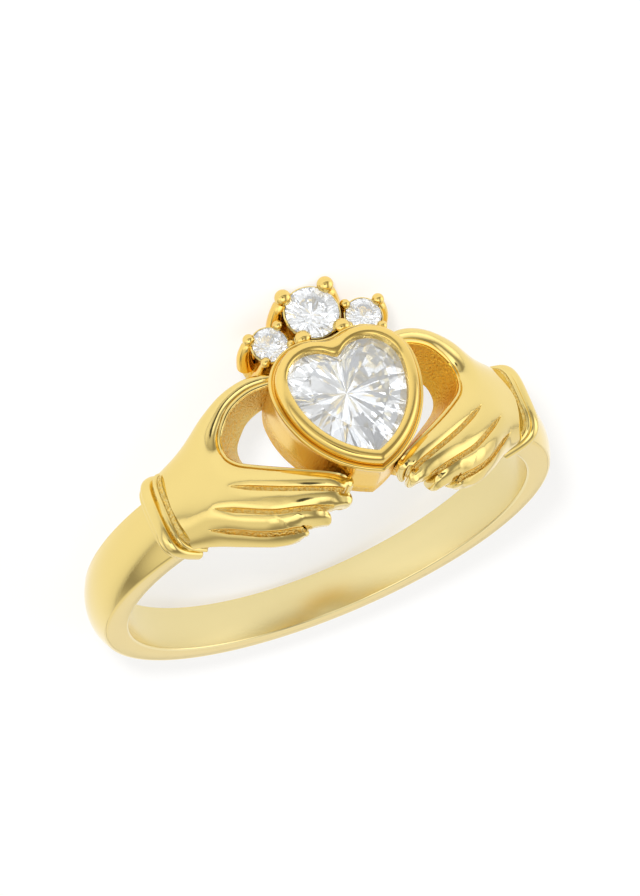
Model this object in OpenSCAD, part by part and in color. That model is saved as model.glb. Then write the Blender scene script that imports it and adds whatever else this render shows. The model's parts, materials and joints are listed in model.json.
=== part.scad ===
// Claddagh ring: two cuffed hands hold a bezel-set heart stone under a crown of three prong-set stones.
//
// The ring is drawn upright first: +Y runs along the finger axis towards the crown, +Z points
// out of the finger through the heart, and the finger hole is centred on the origin. Then it is
// laid on its side as it rests by itself, on the crown's two top prongs and the back of the band.

/* [Finger hole] */
// Radius of the finger hole (17.3 mm across is US size 7)
bore_r = 8.65; // [8:0.05:10]

/* [Band] */
// Thickness of the band at the middle of its width
band_t = 1.35; // [1:0.05:2]
// Width of the band at its back
band_back_w = 1.82; // [1.4:0.02:3]
// Width that the band's straight sides reach under the heart
band_front_w = 2.9; // [2:0.05:3.2]
// Radius of the doming across the outside of the band
band_dome_r = 3.2; // [2.5:0.1:8]

/* [Cuffs] */
// Angle from the heart to the middle of each cuff's bead, in degrees
cuff_angle = 50; // [48:0.5:54]
// Height of the bead's crest above the finger hole
cuff_t = 1.98; // [1.7:0.02:2.4]
// Width of the cuff along the finger axis
cuff_w = 3.7; // [3:0.05:4.2]
// How far the cuff's middle sits towards the crown
cuff_y = 0.16; // [0:0.02:0.3]
// Thickness of the bead along the band
cuff_bead = 0.95; // [0.6:0.05:1.3]
// Thickness of the thin line beside the bead
cuff_line = 0.34; // [0.2:0.02:0.5]
// Width of the groove between the bead and the line
cuff_groove = 0.1; // [0.06:0.01:0.16]

/* [Hands] */
// Reach of each hand along the finger axis, on either side of the middle
hand_reach = 3.4; // [3:0.05:3.8]
// Height of the back of the hand above the finger hole
hand_t = 1.85; // [1.6:0.05:2.2]
// Roundness of the opening between the thumb and the index finger
fork_round = 0.36; // [0.2:0.02:0.5]
// How much narrower that opening is at the finger than outside
fork_draft = 0.5; // [0:0.05:0.8]

/* [Heart bezel] */
// Width of the heart's opening
heart_w = 4.71; // [4.4:0.01:5.2]
// Radius of the heart's two lobes
heart_lobe_r = 1.27; // [1.1:0.01:1.4]
// Place of the lobes' centres along the finger axis
heart_y = 1.69; // [1.4:0.01:1.9]
// Drop from the lobes' centres to the heart's tip
heart_drop = 3.42; // [3.1:0.02:3.8]
// Radius of the hollow between the lobes
heart_cleft_r = 0.3; // [0.2:0.05:0.8]
// How much rounder that hollow is at the bezel's outside
heart_cleft_spread = 1.2; // [0.8:0.05:1.4]
// Height of the rim's crest above the finger hole
heart_h = 3.1; // [2.9:0.01:3.5]
// Width of the rim round the stone
rim_w = 0.46; // [0.36:0.02:0.6]
// Height of the rim's crest above the ledge
rim_h = 0.5; // [0.4:0.02:0.6]
// Width of the ledge outside the rim
ledge_w = 0.25; // [0.15:0.01:0.35]
// Height of the ledge's edge
ledge_h = 0.35; // [0.2:0.01:0.6]
// Thickness of the bezel's wall at its foot
wall_t = 0.55; // [0.4:0.05:0.7]

/* [Crown] */
// Radius of the middle stone
mid_stone_r = 1.08; // [0.95:0.01:1.15]
// Radius of each side stone
side_stone_r = 0.72; // [0.6:0.01:0.8]
// Distance from the heart's lobes to the middle stone along the finger axis
mid_stone_dy = 3.14; // [3:0.01:3.5]
// Distance from the heart's lobes to the side stones along the finger axis
side_stone_dy = 2.51; // [2.4:0.01:2.8]
// Distance of each side stone from the middle
side_stone_x = 2.01; // [1.95:0.01:2.3]
// Height of the middle stone's edge above the finger hole
mid_stone_h = 2.15; // [1.95:0.05:2.5]
// Height of the side stones' edges above the finger hole
side_stone_h = 1.8; // [1.6:0.05:2.1]
// Radius of the two top prongs' ends
top_prong_r = 0.34; // [0.28:0.01:0.45]
// Radius of the other prongs' ends
prong_r = 0.25; // [0.2:0.01:0.3]
// How far a prong's end stands above its stone's edge
prong_over = 0.12; // [0.06:0.01:0.2]
// Thickness of a cup's rim round its stone
cup_rim = 0.08; // [0.06:0.01:0.14]
// Thickness of the plate under the crown
crown_base_t = 0.85; // [0.6:0.05:1.2]

/* [Stones] */
// Clearance between a stone and its setting
stone_gap = 0.05; // [0.03:0.01:0.08]
// How far the heart stone's edge lies below the rim's crest
heart_stone_sunk = 0.55; // [0.45:0.01:0.65]
// How far the heart stone's edge reaches under the rim
heart_stone_tuck = 0.1; // [0.06:0.01:0.14]
// Thickness of the heart stone's edge
heart_stone_edge = 0.12; // [0.08:0.01:0.16]
// Height of a stone above its edge, as a share of its radius
crown_share = 0.3; // [0.2:0.01:0.4]
// Depth of a stone below its edge, as a share of its radius
pavilion_share = 0.86; // [0.6:0.02:1]

/* [Hidden] */
fine = 96;
small = 32;
gold = [0.93, 0.78, 0.42];
clear_stone = [0.93, 0.95, 0.98];

// Places that follow from the sizes above
band_r = bore_r + band_t;
heart_top = bore_r + heart_h;
mid_stone_z = bore_r + mid_stone_h;
side_stone_z = bore_r + side_stone_h;
half_w = heart_w / 2;
lobe_x = half_w - heart_lobe_r;
side_r = (half_w * half_w + heart_drop * heart_drop) / (2 * half_w);
mid_y = heart_y + mid_stone_dy;
side_y = heart_y + side_stone_dy;
base_r = bore_r + crown_base_t;
stone_edge_z = heart_top - heart_stone_sunk;
// How far solids reach into one another where they join
over = 0.35;
// The hands and cuffs stand this far back from the finger hole, whose wall is the band's.
relief = 0.06;
inner_r = bore_r + relief;
// Solids that stand on another start this far down in it.
root = 0.4;
// The band's ends run this many degrees in under the cuffs and hands.
band_inset = 8;

// Half width of the band at a height z above the middle of the ring
function band_half(z) =
    let (back = band_back_w / 2, front = band_front_w / 2)
    back + (front - back) * (z + band_r) / (2 * band_r);

// Radius of the band's domed outside at a distance y from its middle
function dome(y) = band_r - band_dome_r + sqrt(band_dome_r * band_dome_r - y * y);

// Point at an angle from the heart, a radius and a place along the finger axis
function around(angle, r, y) = [r * sin(angle), y, r * cos(angle)];

// Smooth curve through four values, for s from 0 to 1
function through(p, s) =
    let (u = min(s * 3, 2.99999), i = floor(u), f = u - i,
         a = p[max(i - 1, 0)], b = p[i], c = p[i + 1], d = p[min(i + 2, 3)])
    b + 0.5 * f * ((c - a) + f * ((2 * a - 5 * b + 4 * c - d) + f * (3 * b - a - 3 * c + d)));

// Two triangles for the corners a, b, c, d of a patch
function patch(a, b, c, d) = [[a, b, c], [a, c, d]];

// The same faces, seen from their other side
function turned(faces) = [for (f = faces) [f[2], f[1], f[0]]];

// Closed solid through rings of points that all have the same count
module loft(rings) {
    n = len(rings[0]);
    last = (len(rings) - 1) * n;
    sides = [for (i = [0:len(rings) - 2]) for (k = [0:n - 1])
        let (a = i * n + k, b = i * n + (k + 1) % n) each patch(a, b, b + n, a + n)];
    caps = [for (k = [1:n - 2]) each [[0, k + 1, k], [last, last + k, last + k + 1]]];
    polyhedron([for (ring = rings) each ring], concat(sides, caps), convexity = 8);
}

// Closed hoop through rings of points, the last of which meets the first
module hoop(rings) {
    n = len(rings[0]);
    count = len(rings);
    faces = [for (i = [0:count - 1]) for (k = [0:n - 1])
        let (a = i * n, b = (i + 1) % count * n, l = (k + 1) % n)
        each patch(a + k, a + l, b + l, b + k)];
    polyhedron([for (ring = rings) each ring], faces, convexity = 8);
}

// Straight round bar from one point to another
module bar(from, to, r_from, r_to) {
    v = to - from;
    translate(from)
        rotate([0, acos(v[2] / norm(v)), atan2(v[1], v[0])])
            cylinder(h = norm(v), r1 = r_from, r2 = r_to, $fn = small);
}

// How the ring lies: the floor touches the two top prongs' ends and the back of the band.
back_half = band_half(-dome(band_back_w / 2));
back_r = dome(back_half);
top_angle = 45;
TOP_LEAN = [0.15, -0.55];
top_prong = prong_end(mid_stone_r, [0, mid_y, mid_stone_z], top_angle, top_prong_r);
rise = [top_prong[1] - back_half, top_prong[2] + back_r];
tilt = atan2(rise[0], rise[1]) + asin(top_prong_r / norm(rise));
lift = back_half * cos(tilt) + back_r * sin(tilt);
front_reach = top_prong[1] * sin(tilt) + top_prong[2] * cos(tilt) + top_prong_r;
back_reach = back_half * sin(tilt) + back_r * cos(tilt);

module laid() {
    translate([0, (front_reach - back_reach) / 2, lift])
        rotate([tilt - 90, 0, 180])
            children();
}

// Band
module band_profile() {
    intersection() {
        translate([0, -band_front_w])
            square([band_r, 2 * band_front_w]);
        translate([band_r - band_dome_r, 0])
            circle(r = band_dome_r, $fn = fine);
    }
}

module band() {
    reach = band_r + over;
    start = cuff_angle - band_inset;
    intersection() {
        // The hoop is open under the hands and the heart.
        rotate([90, 0, 0])
            rotate([0, 0, 90 + start])
                rotate_extrude(angle = 360 - 2 * start, $fn = fine)
                    band_profile();
        rotate([0, 90, 0])
            linear_extrude(height = 2 * reach, center = true)
                polygon([[reach, -band_half(-reach)], [reach, band_half(-reach)],
                         [-reach, band_half(reach)], [-reach, -band_half(reach)]]);
    }
}

// Cuffs
// Arch of the cuff's outline in the plane across the band: [place along the axis, radius]
function cuff_arch(half, top) =
    let (n = 16, foot = inner_r + over / 3, squareness = 0.62)
    concat([[half, inner_r]],
           [for (i = [0:n]) let (c = cos(180 * i / n), s = sin(180 * i / n))
               [half * sign(c) * pow(abs(c), squareness), foot + (top - foot) * pow(s, squareness)]],
           [[-half, inner_r]]);

// Cross sections of the cuff: [place along the band, how far it stands out]
function cuff_sections() =
    let (b = cuff_bead / 2, l = cuff_line / 2, line_mid = -b - cuff_groove - l, line_rise = 1.9)
    concat([for (i = [0:6]) [b * cos(30 * i), b * sin(30 * i)]],
           [for (i = [0:4]) [line_mid + l * cos(45 * i), line_rise * l * sin(45 * i)]]);

module cuff() {
    mid_r = bore_r + cuff_t / 2;
    core = cuff_bead / 2;
    loft([for (section = cuff_sections())
        let (angle = cuff_angle + section[0] / mid_r * 180 / PI)
        [for (p = cuff_arch(cuff_w / 2 - core + section[1], bore_r + cuff_t - core + section[1]))
            around(angle, p[1], p[0] + cuff_y)]]);
}

// Hands
// Each line runs along the hand from the cuff to the thumb's end or the fingertips through four
// places. A place is [share of the cuff's angle, share of the reach, share of the height].
THUMB_LINES = [
    [[0.97, 0.45, 0.76], [0.78, 0.61, 0.84], [0.52, 0.92, 1.06], [0.27, 0.97, 1.12]],
    [[0.97, 0.37, 0.9], [0.76, 0.55, 0.97], [0.52, 0.85, 1.18], [0.28, 0.91, 1.22]],
    [[0.97, 0.27, 0.93], [0.7, 0.46, 0.99], [0.51, 0.78, 1.11], [0.3, 0.84, 1.14]],
    [[0.97, 0.13, 0.93], [0.59, 0.35, 0.93], [0.5, 0.715, 0.97], [0.32, 0.77, 1]]];
FINGER_LINES = [
    [[0.97, 0.13, 0.93], [0.59, 0.35, 0.93], [0.41, -0.15, 1.03], [0.13, -0.5, 0.95]],
    [[0.97, 0.06, 0.94], [0.66, 0.1, 1], [0.4, -0.29, 1.13], [0.125, -0.61, 1]],
    [[0.97, 0, 0.94], [0.67, -0.08, 0.97], [0.4, -0.445, 1], [0.17, -0.66, 0.92]],
    [[0.97, -0.08, 0.94], [0.71, -0.17, 1], [0.43, -0.55, 1.08], [0.155, -0.79, 0.88]],
    [[0.97, -0.14, 0.93], [0.745, -0.235, 0.92], [0.49, -0.645, 0.9], [0.26, -0.82, 0.7]],
    [[0.97, -0.22, 0.92], [0.77, -0.33, 0.96], [0.53, -0.745, 0.97], [0.275, -0.91, 0.72]],
    [[0.97, -0.29, 0.9], [0.8, -0.405, 0.88], [0.58, -0.8, 0.75], [0.37, -0.93, 0.55]],
    [[0.97, -0.37, 0.86], [0.8, -0.53, 0.87], [0.59, -0.88, 0.78], [0.385, -0.97, 0.62]],
    [[0.97, -0.45, 0.66], [0.78, -0.63, 0.68], [0.58, -0.94, 0.62], [0.4, -0.99, 0.5]]];
hand_steps = 21;
// The ends round off over this last share of the hand, down to this share of their height.
END_ROUND = [0.15, 0.65];
// How round a finger is between its crest and its grooves
finger_round = 2.4;
// The thumb and the index finger part at this step along the hand.
fork_step = 7;

// How far the fork has opened at s: it has a round end, so it opens as a square root does.
function opened(s) = sqrt(min(max(3 * s - 1, 0), 1));

function line_place(line, s, widen = 0) =
    let (p = through(line, s), past = max(s - 1 + END_ROUND[0], 0) / END_ROUND[0],
         end = 1 - (1 - END_ROUND[1]) * pow(past, 3), u = opened(s))
    [p[0] * cuff_angle, p[1] * hand_reach + widen * fork_round * 4 * (u - u * u),
     bore_r + p[2] * hand_t * end];

// Place across the fingers: even lines are grooves, odd ones are the fingers' crests.
function finger_place(t, s) =
    let (k = min(floor(t), len(FINGER_LINES) - 2), f = t - k,
         a = line_place(FINGER_LINES[k], s, k == 0 ? -1 : 0), b = line_place(FINGER_LINES[k + 1], s),
         rise = k % 2 == 0 ? 1 - pow(1 - f, finger_round) : pow(f, finger_round),
         flat = a + (b - a) * f)
    [flat[0], flat[1], a[2] + (b[2] - a[2]) * rise];

function thumb_place(t, s) =
    through([for (k = [0:3]) line_place(THUMB_LINES[k], s, k == 3 ? 1 : 0)], t / 3);

// Places across the hand at one step. Up to the fork, the thumb's last line and the index
// finger's first one are the same.
function hand_columns(step) =
    let (s = step / hand_steps,
         inner = thumb_place(3, s), index = finger_place(0, s), both = (inner + index) / 2)
    concat([for (i = [0:5]) thumb_place(i / 2, s)],
           step <= fork_step ? [both, both] : [inner, index],
           [for (i = [1:24]) finger_place(i / 3, s)]);

module hand() {
    columns = [for (i = [0:hand_steps]) hand_columns(i)];
    n = len(columns[0]);
    fork = 6;
    // Row of a step: the points of the outside, then the four feet at the finger hole. The
    // outer two are drawn in, as the hand's edges curl under, and the middle two narrow the fork.
    row = n + 4;
    feet = [[0, 0.92, 0], [fork, 1, -1], [fork + 1, 1, 0.4], [n - 1, 0.87, 0]];
    points = [for (i = [0:hand_steps]) let (c = columns[i], draft = fork_draft * opened(i / hand_steps))
        each concat(
            [for (p = c) around(p[0], p[2], p[1])],
            [for (foot = feet) let (p = c[foot[0]])
                around(p[0], inner_r, p[1] * foot[1] + foot[2] * draft)])];
    faces = [for (i = [0:hand_steps - 1]) let (a = i * row, b = a + row) each concat(
        [for (k = [0:n - 2]) if (k != fork) each patch(a + k, b + k, b + k + 1, a + k + 1)],
        patch(a + n, a + n + 1, b + n + 1, b + n),
        patch(a + n + 2, a + n + 3, b + n + 3, b + n + 2),
        patch(a, a + n, b + n, b),
        patch(a + n - 1, b + n - 1, b + n + 3, a + n + 3),
        i < fork_step ? [] : patch(a + fork, b + fork, b + n + 1, a + n + 1),
        i < fork_step ? [] : patch(a + fork + 1, a + n + 2, b + n + 2, b + fork + 1))];
    end = hand_steps * row;
    thumb_end = [for (k = [0:fork - 1]) [end + n, end + k + 1, end + k], [end + n, end + n + 1, end + fork]];
    finger_end = [for (k = [fork + 1:n - 2]) [end + n + 2, end + k + 1, end + k],
                  [end + n + 2, end + n + 3, end + n - 1]];
    wrist = concat([for (k = [0:fork - 1]) [n, k, k + 1]], [[n, fork, n + 1]],
                   [for (k = [fork + 1:n - 2]) [n + 2, k, k + 1]], [[n + 2, n - 1, n + 3]]);
    polyhedron(points, turned(concat(faces, wrist, thumb_end, finger_end)), convexity = 10);
}

// Heart
// Outline of the heart, grown by d all round, with the hollow between its lobes rounded to cleft_r.
// The counts are the points on the hollow, the lobe and the side of each half.
function heart(d, cleft_r, counts = [3, 11, 7]) =
    let (lobe = heart_lobe_r + d, side = side_r + d, side_x = half_w - side_r,
         cleft_dy = sqrt(pow(lobe + cleft_r, 2) - lobe_x * lobe_x),
         meet = atan2(cleft_dy, -lobe_x), tip = -acos(-side_x / side),
         right = concat(
             [for (i = [0:counts[0] - 1]) let (a = -90 + (meet - 90) * i / counts[0])
                 [cleft_r * cos(a), cleft_dy + cleft_r * sin(a)]],
             [for (i = [0:counts[1] - 1]) let (a = meet * (1 - i / counts[1]))
                 [lobe_x + lobe * cos(a), lobe * sin(a)]],
             [for (i = [0:counts[2]]) let (a = tip * i / counts[2])
                 [side_x + side * cos(a), side * sin(a)]]),
         n = len(right))
    [for (p = concat(right, [for (i = [n - 2:-1:1]) [-right[i][0], right[i][1]]]))
        [p[0], p[1] + heart_y]];

// Section of the rim: [share of its width, share of its height down from the crest, share of the
// hollow's spread]
RIM_LINES = [[0, 0.46, 0], [0.12, 0.16, 0], [0.4, 0, 0.25], [0.75, 0.28, 0.67], [1, 0.8, 1]];
// Section of the ledge: [share of its width, share of its height down from its top]
LEDGE_LINES = [[0, 0.23], [0.2, 0], [0.76, 0], [1, 0.23], [1, 1], [0.6, 1.29]];

// Section of the bezel: [distance out from the opening, height, rounding of the hollow]
function bezel_section() =
    let (wide = heart_cleft_r + heart_cleft_spread, ledge_z = heart_top - rim_h,
         wall_out = rim_w + 0.36 * ledge_w, foot = bore_r + over / 3)
    concat([for (p = RIM_LINES)
               [p[0] * rim_w, heart_top - p[1] * rim_h, heart_cleft_r + p[2] * heart_cleft_spread]],
           [for (p = LEDGE_LINES) [rim_w + p[0] * ledge_w, ledge_z - p[1] * ledge_h, wide]],
           [[wall_out, foot, wide],
            [wall_out - wall_t, foot, heart_cleft_r],
            [-1.2 * heart_stone_tuck, stone_edge_z - over, heart_cleft_r]]);

module bezel() {
    section = bezel_section();
    outlines = [for (p = section) heart(p[0], p[2])];
    hoop([for (k = [0:len(outlines[0]) - 1])
        [for (i = [0:len(section) - 1]) [outlines[i][k][0], outlines[i][k][1], section[i][1]]]]);
}

// Rows of the heart-cut stone from its point to its table: [share out from the middle, share of the
// depth below the edge, share of the edge's thickness, share of the height above the edge]
HEART_ROWS = [[0.02, 1, 0, 0], [0.45, 0.62, 0, 0], [1, 0, 0, 0], [1, 0, 1, 0], [0.64, 0, 1, 0.5]];

// Rings of the heart-cut stone, grown by gap all round
function heart_stone_rings(gap) =
    let (middle = heart_y - 0.2 * half_w, counts = [2, 6, 4], outline = heart(heart_stone_tuck + gap,
         heart_cleft_r, counts), depth = pavilion_share * half_w, height = crown_share * half_w)
    [for (row = HEART_ROWS) let (grown = row[2] == 0 ? -gap : gap)
        [for (p = outline)
            [p[0] * row[0], middle + (p[1] - middle) * row[0],
             stone_edge_z - row[1] * depth + row[2] * heart_stone_edge + row[3] * height + grown]]];

// Round stones
// Shares of a round stone's radius: half its edge's thickness, and the radius of its table, whose
// eight sides bulge by a share of that
ROUND_EDGE = 0.05;
ROUND_TABLE = 0.56;
TABLE_SIDE = 0.95;

// Rings of a round brilliant from its table to its point
function round_stone_rings(r) =
    [for (row = [[ROUND_TABLE, crown_share], [1, ROUND_EDGE], [1, -ROUND_EDGE],
                 [0.5, -0.5 * pavilion_share], [0.03, -pavilion_share]])
        [for (i = [0:15])
            let (out = row[0] * r * (row[0] == ROUND_TABLE && i % 2 == 1 ? TABLE_SIDE : 1))
            [out * cos(22.5 * i), out * sin(22.5 * i), row[1] * r]]];

// Room for a round stone in its setting
module round_seat(r) {
    wide = r + stone_gap;
    edge = ROUND_EDGE * r + stone_gap;
    top = crown_share * r + stone_gap;
    rotate_extrude($fn = small)
        polygon([[0, top], [ROUND_TABLE * r + stone_gap, top], [wide, edge], [wide, -edge],
                 [0, -pavilion_share * r - 2 * stone_gap]]);
}

// Crown
// Centre of a prong's end round a stone of radius r at the point c
function prong_end(r, c, angle, end_r) =
    let (out = r + 0.6 * end_r) [c[0] + out * cos(angle), c[1] + out * sin(angle), c[2] + prong_over];

// Foot of its post, which leans by shares of r
function prong_foot(end, r, lean) = [end[0] + lean[0] * r, end[1] + lean[1] * r, base_r - root];

// A prong: a rounded end on a post that widens down to the plate
module prong(r, c, angle, end_r, lean) {
    end = prong_end(r, c, angle, end_r);
    foot = prong_foot(end, r, lean);
    translate(end)
        sphere(r = end_r, $fn = small);
    bar(foot, end, end_r, 0.8 * end_r);
}

// Cup that carries a stone
module cup(r, c) {
    translate([c[0], c[1], base_r - root])
        cylinder(h = c[2] - base_r + root, r1 = 0.7 * r, r2 = r + cup_rim, $fn = small);
}

// Prongs of a side stone: [angle, share of the prongs' radius, lean of the post]
SIDE_PRONGS = [[28, 1, [0.07, -0.55]], [132, 0.85, [-0.14, -0.42]], [200, 0.75, [0, 0]],
               [305, 0.85, [0.14, 0.14]]];

module crown_right() {
    side = [side_stone_x, side_y, side_stone_z];
    middle = [0, mid_y, mid_stone_z];
    cup(side_stone_r, side);
    for (p = SIDE_PRONGS)
        prong(side_stone_r, side, p[0], p[1] * prong_r, p[2]);
    prong(mid_stone_r, middle, top_angle, top_prong_r, TOP_LEAN);
    prong(mid_stone_r, middle, -50, 1.25 * prong_r, [0.1, 0.18]);
}

// Plate under the crown, which follows the finger hole and ties the crown to the bezel
module crown_base() {
    lobe_top = heart_y + heart_lobe_r + rim_w / 4;
    foot = prong_foot(top_prong, mid_stone_r, TOP_LEAN);
    intersection() {
        rotate([90, 0, 0])
            cylinder(h = 4 * mid_y, r = base_r, center = true, $fn = fine);
        linear_extrude(height = base_r + root) {
            for (x = [-1, 1]) {
                translate([x * side_stone_x, side_y])
                    circle(r = side_stone_r + cup_rim, $fn = small);
                translate([x * foot[0], foot[1]])
                    circle(r = 0.8 * top_prong_r, $fn = small);
            }
            polygon([[-side_stone_x, lobe_top], [side_stone_x, lobe_top], [side_stone_x, side_y],
                     [foot[0], foot[1]], [-foot[0], foot[1]], [-side_stone_x, side_y]]);
        }
    }
}

module crown() {
    crown_base();
    cup(mid_stone_r, [0, mid_y, mid_stone_z]);
    crown_right();
    mirror([1, 0, 0])
        crown_right();
}

module ring_body() {
    color(gold) laid() difference() {
        union() {
            band();
            crown();
            bezel();
            for (side = [0, 1]) mirror([side, 0, 0]) {
                cuff();
                hand();
            }
        }
        rotate([90, 0, 0])
            cylinder(h = 4 * mid_y, r = bore_r, center = true, $fn = fine);
        loft(heart_stone_rings(stone_gap));
        translate([0, mid_y, mid_stone_z])
            round_seat(mid_stone_r);
        for (x = [-side_stone_x, side_stone_x]) translate([x, side_y, side_stone_z])
            round_seat(side_stone_r);
    }
}

module heart_stone() {
    color(clear_stone) laid()
        loft(heart_stone_rings(0));
}

module crown_stone(r, c) {
    color(clear_stone) laid() translate(c)
        loft(round_stone_rings(r));
}

ring_body();
heart_stone();
crown_stone(mid_stone_r, [0, mid_y, mid_stone_z]);  // crown_stone_middle
crown_stone(side_stone_r, [-side_stone_x, side_y, side_stone_z]);  // crown_stone_left
crown_stone(side_stone_r, [side_stone_x, side_y, side_stone_z]);  // crown_stone_right
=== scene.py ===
# Looks of the claddagh ring: polished gold, carved hands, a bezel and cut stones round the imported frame.
#
# Each piece is drawn in millimetres in an upright ring: X to the right of the heart, Y along the
# finger axis towards the crown, Z out of the finger through the heart. Then it is laid down in metres
# on the finger hole that the frame's record gives.
import json
import math

import bmesh
import bpy
import numpy as np
from mathutils import Matrix, Vector
from mathutils.geometry import delaunay_2d_cdt


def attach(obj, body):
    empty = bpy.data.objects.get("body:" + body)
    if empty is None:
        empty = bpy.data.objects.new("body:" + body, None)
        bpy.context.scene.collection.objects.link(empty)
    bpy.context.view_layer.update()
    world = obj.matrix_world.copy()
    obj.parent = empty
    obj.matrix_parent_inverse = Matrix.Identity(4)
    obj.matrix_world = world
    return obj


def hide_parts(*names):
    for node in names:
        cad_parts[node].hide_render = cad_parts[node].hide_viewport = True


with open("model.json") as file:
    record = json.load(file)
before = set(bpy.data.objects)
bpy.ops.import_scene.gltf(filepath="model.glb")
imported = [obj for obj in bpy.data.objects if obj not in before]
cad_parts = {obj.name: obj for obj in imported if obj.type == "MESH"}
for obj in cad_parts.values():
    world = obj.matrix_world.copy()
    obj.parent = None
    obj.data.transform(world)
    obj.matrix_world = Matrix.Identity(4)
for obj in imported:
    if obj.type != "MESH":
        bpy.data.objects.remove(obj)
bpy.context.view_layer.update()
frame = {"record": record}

MM = 0.001
BODY = "root"

# The finger hole, which carries the upright ring
hole = next(m for m in frame["record"]["mounts"] if m["name"] == "finger_hole")
BORE_R = hole["dims"]["r_mm"]
RIGHT = Vector((-1, 0, 0))
TO_CROWN = -Vector(hole["axis"])
OUTWARD = RIGHT.cross(TO_CROWN)
LAID = Matrix.Translation(hole["pos_m"]) @ Matrix((RIGHT, TO_CROWN, OUTWARD)).transposed().to_4x4()

# Band. Its ends are BAND_START degrees from the heart, inside the wrists.
BAND_T = 1.343
BAND_BACK_W = 1.82
BAND_FRONT_W = 2.9
BAND_DOME_R = 3.2
BAND_START = 42
BAND_EDGE = 0.12
BAND_STEPS = 260
DOME_STEPS = 32
# The inside of the band is this far from polished, and painted this much paler as painted brightness.
BAND_SATIN = 0.49
BAND_PAINTED_PALE = 0.7

# Cuffs. Their thickness and width are over the bead, which stands out of a core by half of CUFF_BEAD,
# and their middle lies CUFF_Y towards the crown.
CUFF_ANGLE = 50
CUFF_T = 1.98
CUFF_W = 3.7
CUFF_Y = 0.16
CUFF_BEAD = 0.95
# How square the arch over the band is, where it starts above the finger hole, and its steps
CUFF_SQUARE = 0.52
CUFF_FOOT = 0.1
CUFF_ARCH_STEPS = 72
# The corners at the finger hole are cut this far across and up, and the side between them has steps.
CUFF_CORNER = (0.05, 0.03)
CUFF_SIDE_STEPS = 8

# Heart: half its width at the opening, the arcs of its lobes and sides, and the hollow between the lobes
HALF_W = 2.355
LOBE_R = 1.27
LOBE_X = HALF_W - LOBE_R
HEART_Y = 1.69
HEART_DROP = 3.42
SIDE_R = (HALF_W ** 2 + HEART_DROP ** 2) / (2 * HALF_W)
CLEFT_R = 0.3
CLEFT_SPREAD = 1.2
HEART_TOP = BORE_R + 3.1
# Steps of its outline in the hollow, round a lobe and down a side
HEART_STEPS = (14, 56, 44)

# Crown: the top of its plate, its three stones, and how far a cup's rim stands out round its stone
BASE_R = BORE_R + 0.85
MIDDLE_R = 1.08
MIDDLE_AT = (0, 4.83, BORE_R + 2.15)
SIDE_STONE_R = 0.72
SIDE_X = 2.01
SIDE_Y = 4.2
SIDE_Z = BORE_R + 1.8
CUP_RIM = 0.08
# The feet of the cups and prongs are sunk this far into the plate.
FOOT_SUNK = 0.4

# The hands, the cuffs, the bezel and the plate end this close to the finger hole.
INNER_R = BORE_R + 0.02

# Steps of a smooth line between two of its places, and of a rounded corner
LINE_STEPS = 24
CORNER_STEPS = 6
# Places of a rounded line closer than this are one.
SAME_PLACE = 0.01
# No length is taken as less than this where it divides.
TINY = 1e-12
# Edges that turn by more degrees than this stay crisp: on most pieces, on the band, and on soft carving.
CRISP = 38
BAND_CRISP = 30
SOFT_CRISP = 50


def around(angle, r, y):
    """Point at an angle from the heart in degrees, a radius and a place along the finger axis"""
    a = np.radians(angle)
    return np.stack([r * np.sin(a), y + 0 * a, r * np.cos(a)], -1)


def run_along(line):
    """Length along a line up to each of its places, by their first two numbers"""
    return np.concatenate([[0], np.cumsum(np.linalg.norm(np.diff(line[:, :2], axis=0), axis=1))])


def evenly(line, count, closed=False):
    """Places at even steps along a line; a closed one gives its last place only once"""
    run = run_along(line)
    at = np.linspace(0, run[-1], count, endpoint=not closed)
    return np.stack([np.interp(at, run, column) for column in line.T], -1)


def curve(places, step, closed=False):
    """Smooth line through places, at even steps of its first two numbers"""
    p = np.array(places, float)
    before = p[-1:] if closed else 2 * p[:1] - p[1:2]
    after = p[:1] if closed else 2 * p[-1:] - p[-2:-1]
    p = np.vstack([before, p, after] + ([p[1:2]] if closed else []))
    share = np.linspace(0, 1, LINE_STEPS, endpoint=False)[:, None]
    fine = []
    for i in range(1, len(p) - 2):
        a, b, c, d = p[i - 1:i + 3]
        bend = (2 * a - 5 * b + 4 * c - d) + share * (3 * b - a - 3 * c + d)
        fine.append(b + 0.5 * share * ((c - a) + share * bend))
    fine = np.vstack(fine + [p[-2:-1]])
    return evenly(fine, max(2, int(round(run_along(fine)[-1] / step)) + 1))


def add_values(mesh, label, values):
    """Stores a value for each place of a mesh, which its material or its node tree reads"""
    attribute = mesh.attributes.new(label, "FLOAT", "POINT")
    attribute.data.foreach_set("value", np.asarray(values, np.float32))


def piece(name, places, faces, material, nodes=("ring_body",), shades=None, crisp=CRISP):
    """Mesh piece from places in the upright ring, in millimetres"""
    mesh = bpy.data.meshes.new(name)
    mesh.from_pydata(np.asarray(places).tolist(), [], [list(map(int, f)) for f in faces])
    for label, values in (shades or {}).items():
        add_values(mesh, label, values)
    return finished(name, mesh, material, nodes, crisp)


def finished(name, mesh, material, nodes, crisp):
    """Lays a mesh down in the frame, turns its faces outward, gives it its material, attaches it to the
    body and hides the parts of the frame that it stands for
    """
    mesh.transform(LAID @ Matrix.Scale(MM, 4))
    shell = bmesh.new()
    shell.from_mesh(mesh)
    bmesh.ops.recalc_face_normals(shell, faces=shell.faces)
    shell.to_mesh(mesh)
    shell.free()
    if crisp:
        mesh.shade_smooth()
        mesh.set_sharp_from_angle(angle=math.radians(crisp))
    if not mesh.materials:
        mesh.materials.append(material)
    obj = bpy.data.objects.new(name, mesh)
    bpy.context.scene.collection.objects.link(obj)
    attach(obj, BODY)
    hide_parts(*nodes)
    return obj


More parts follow.
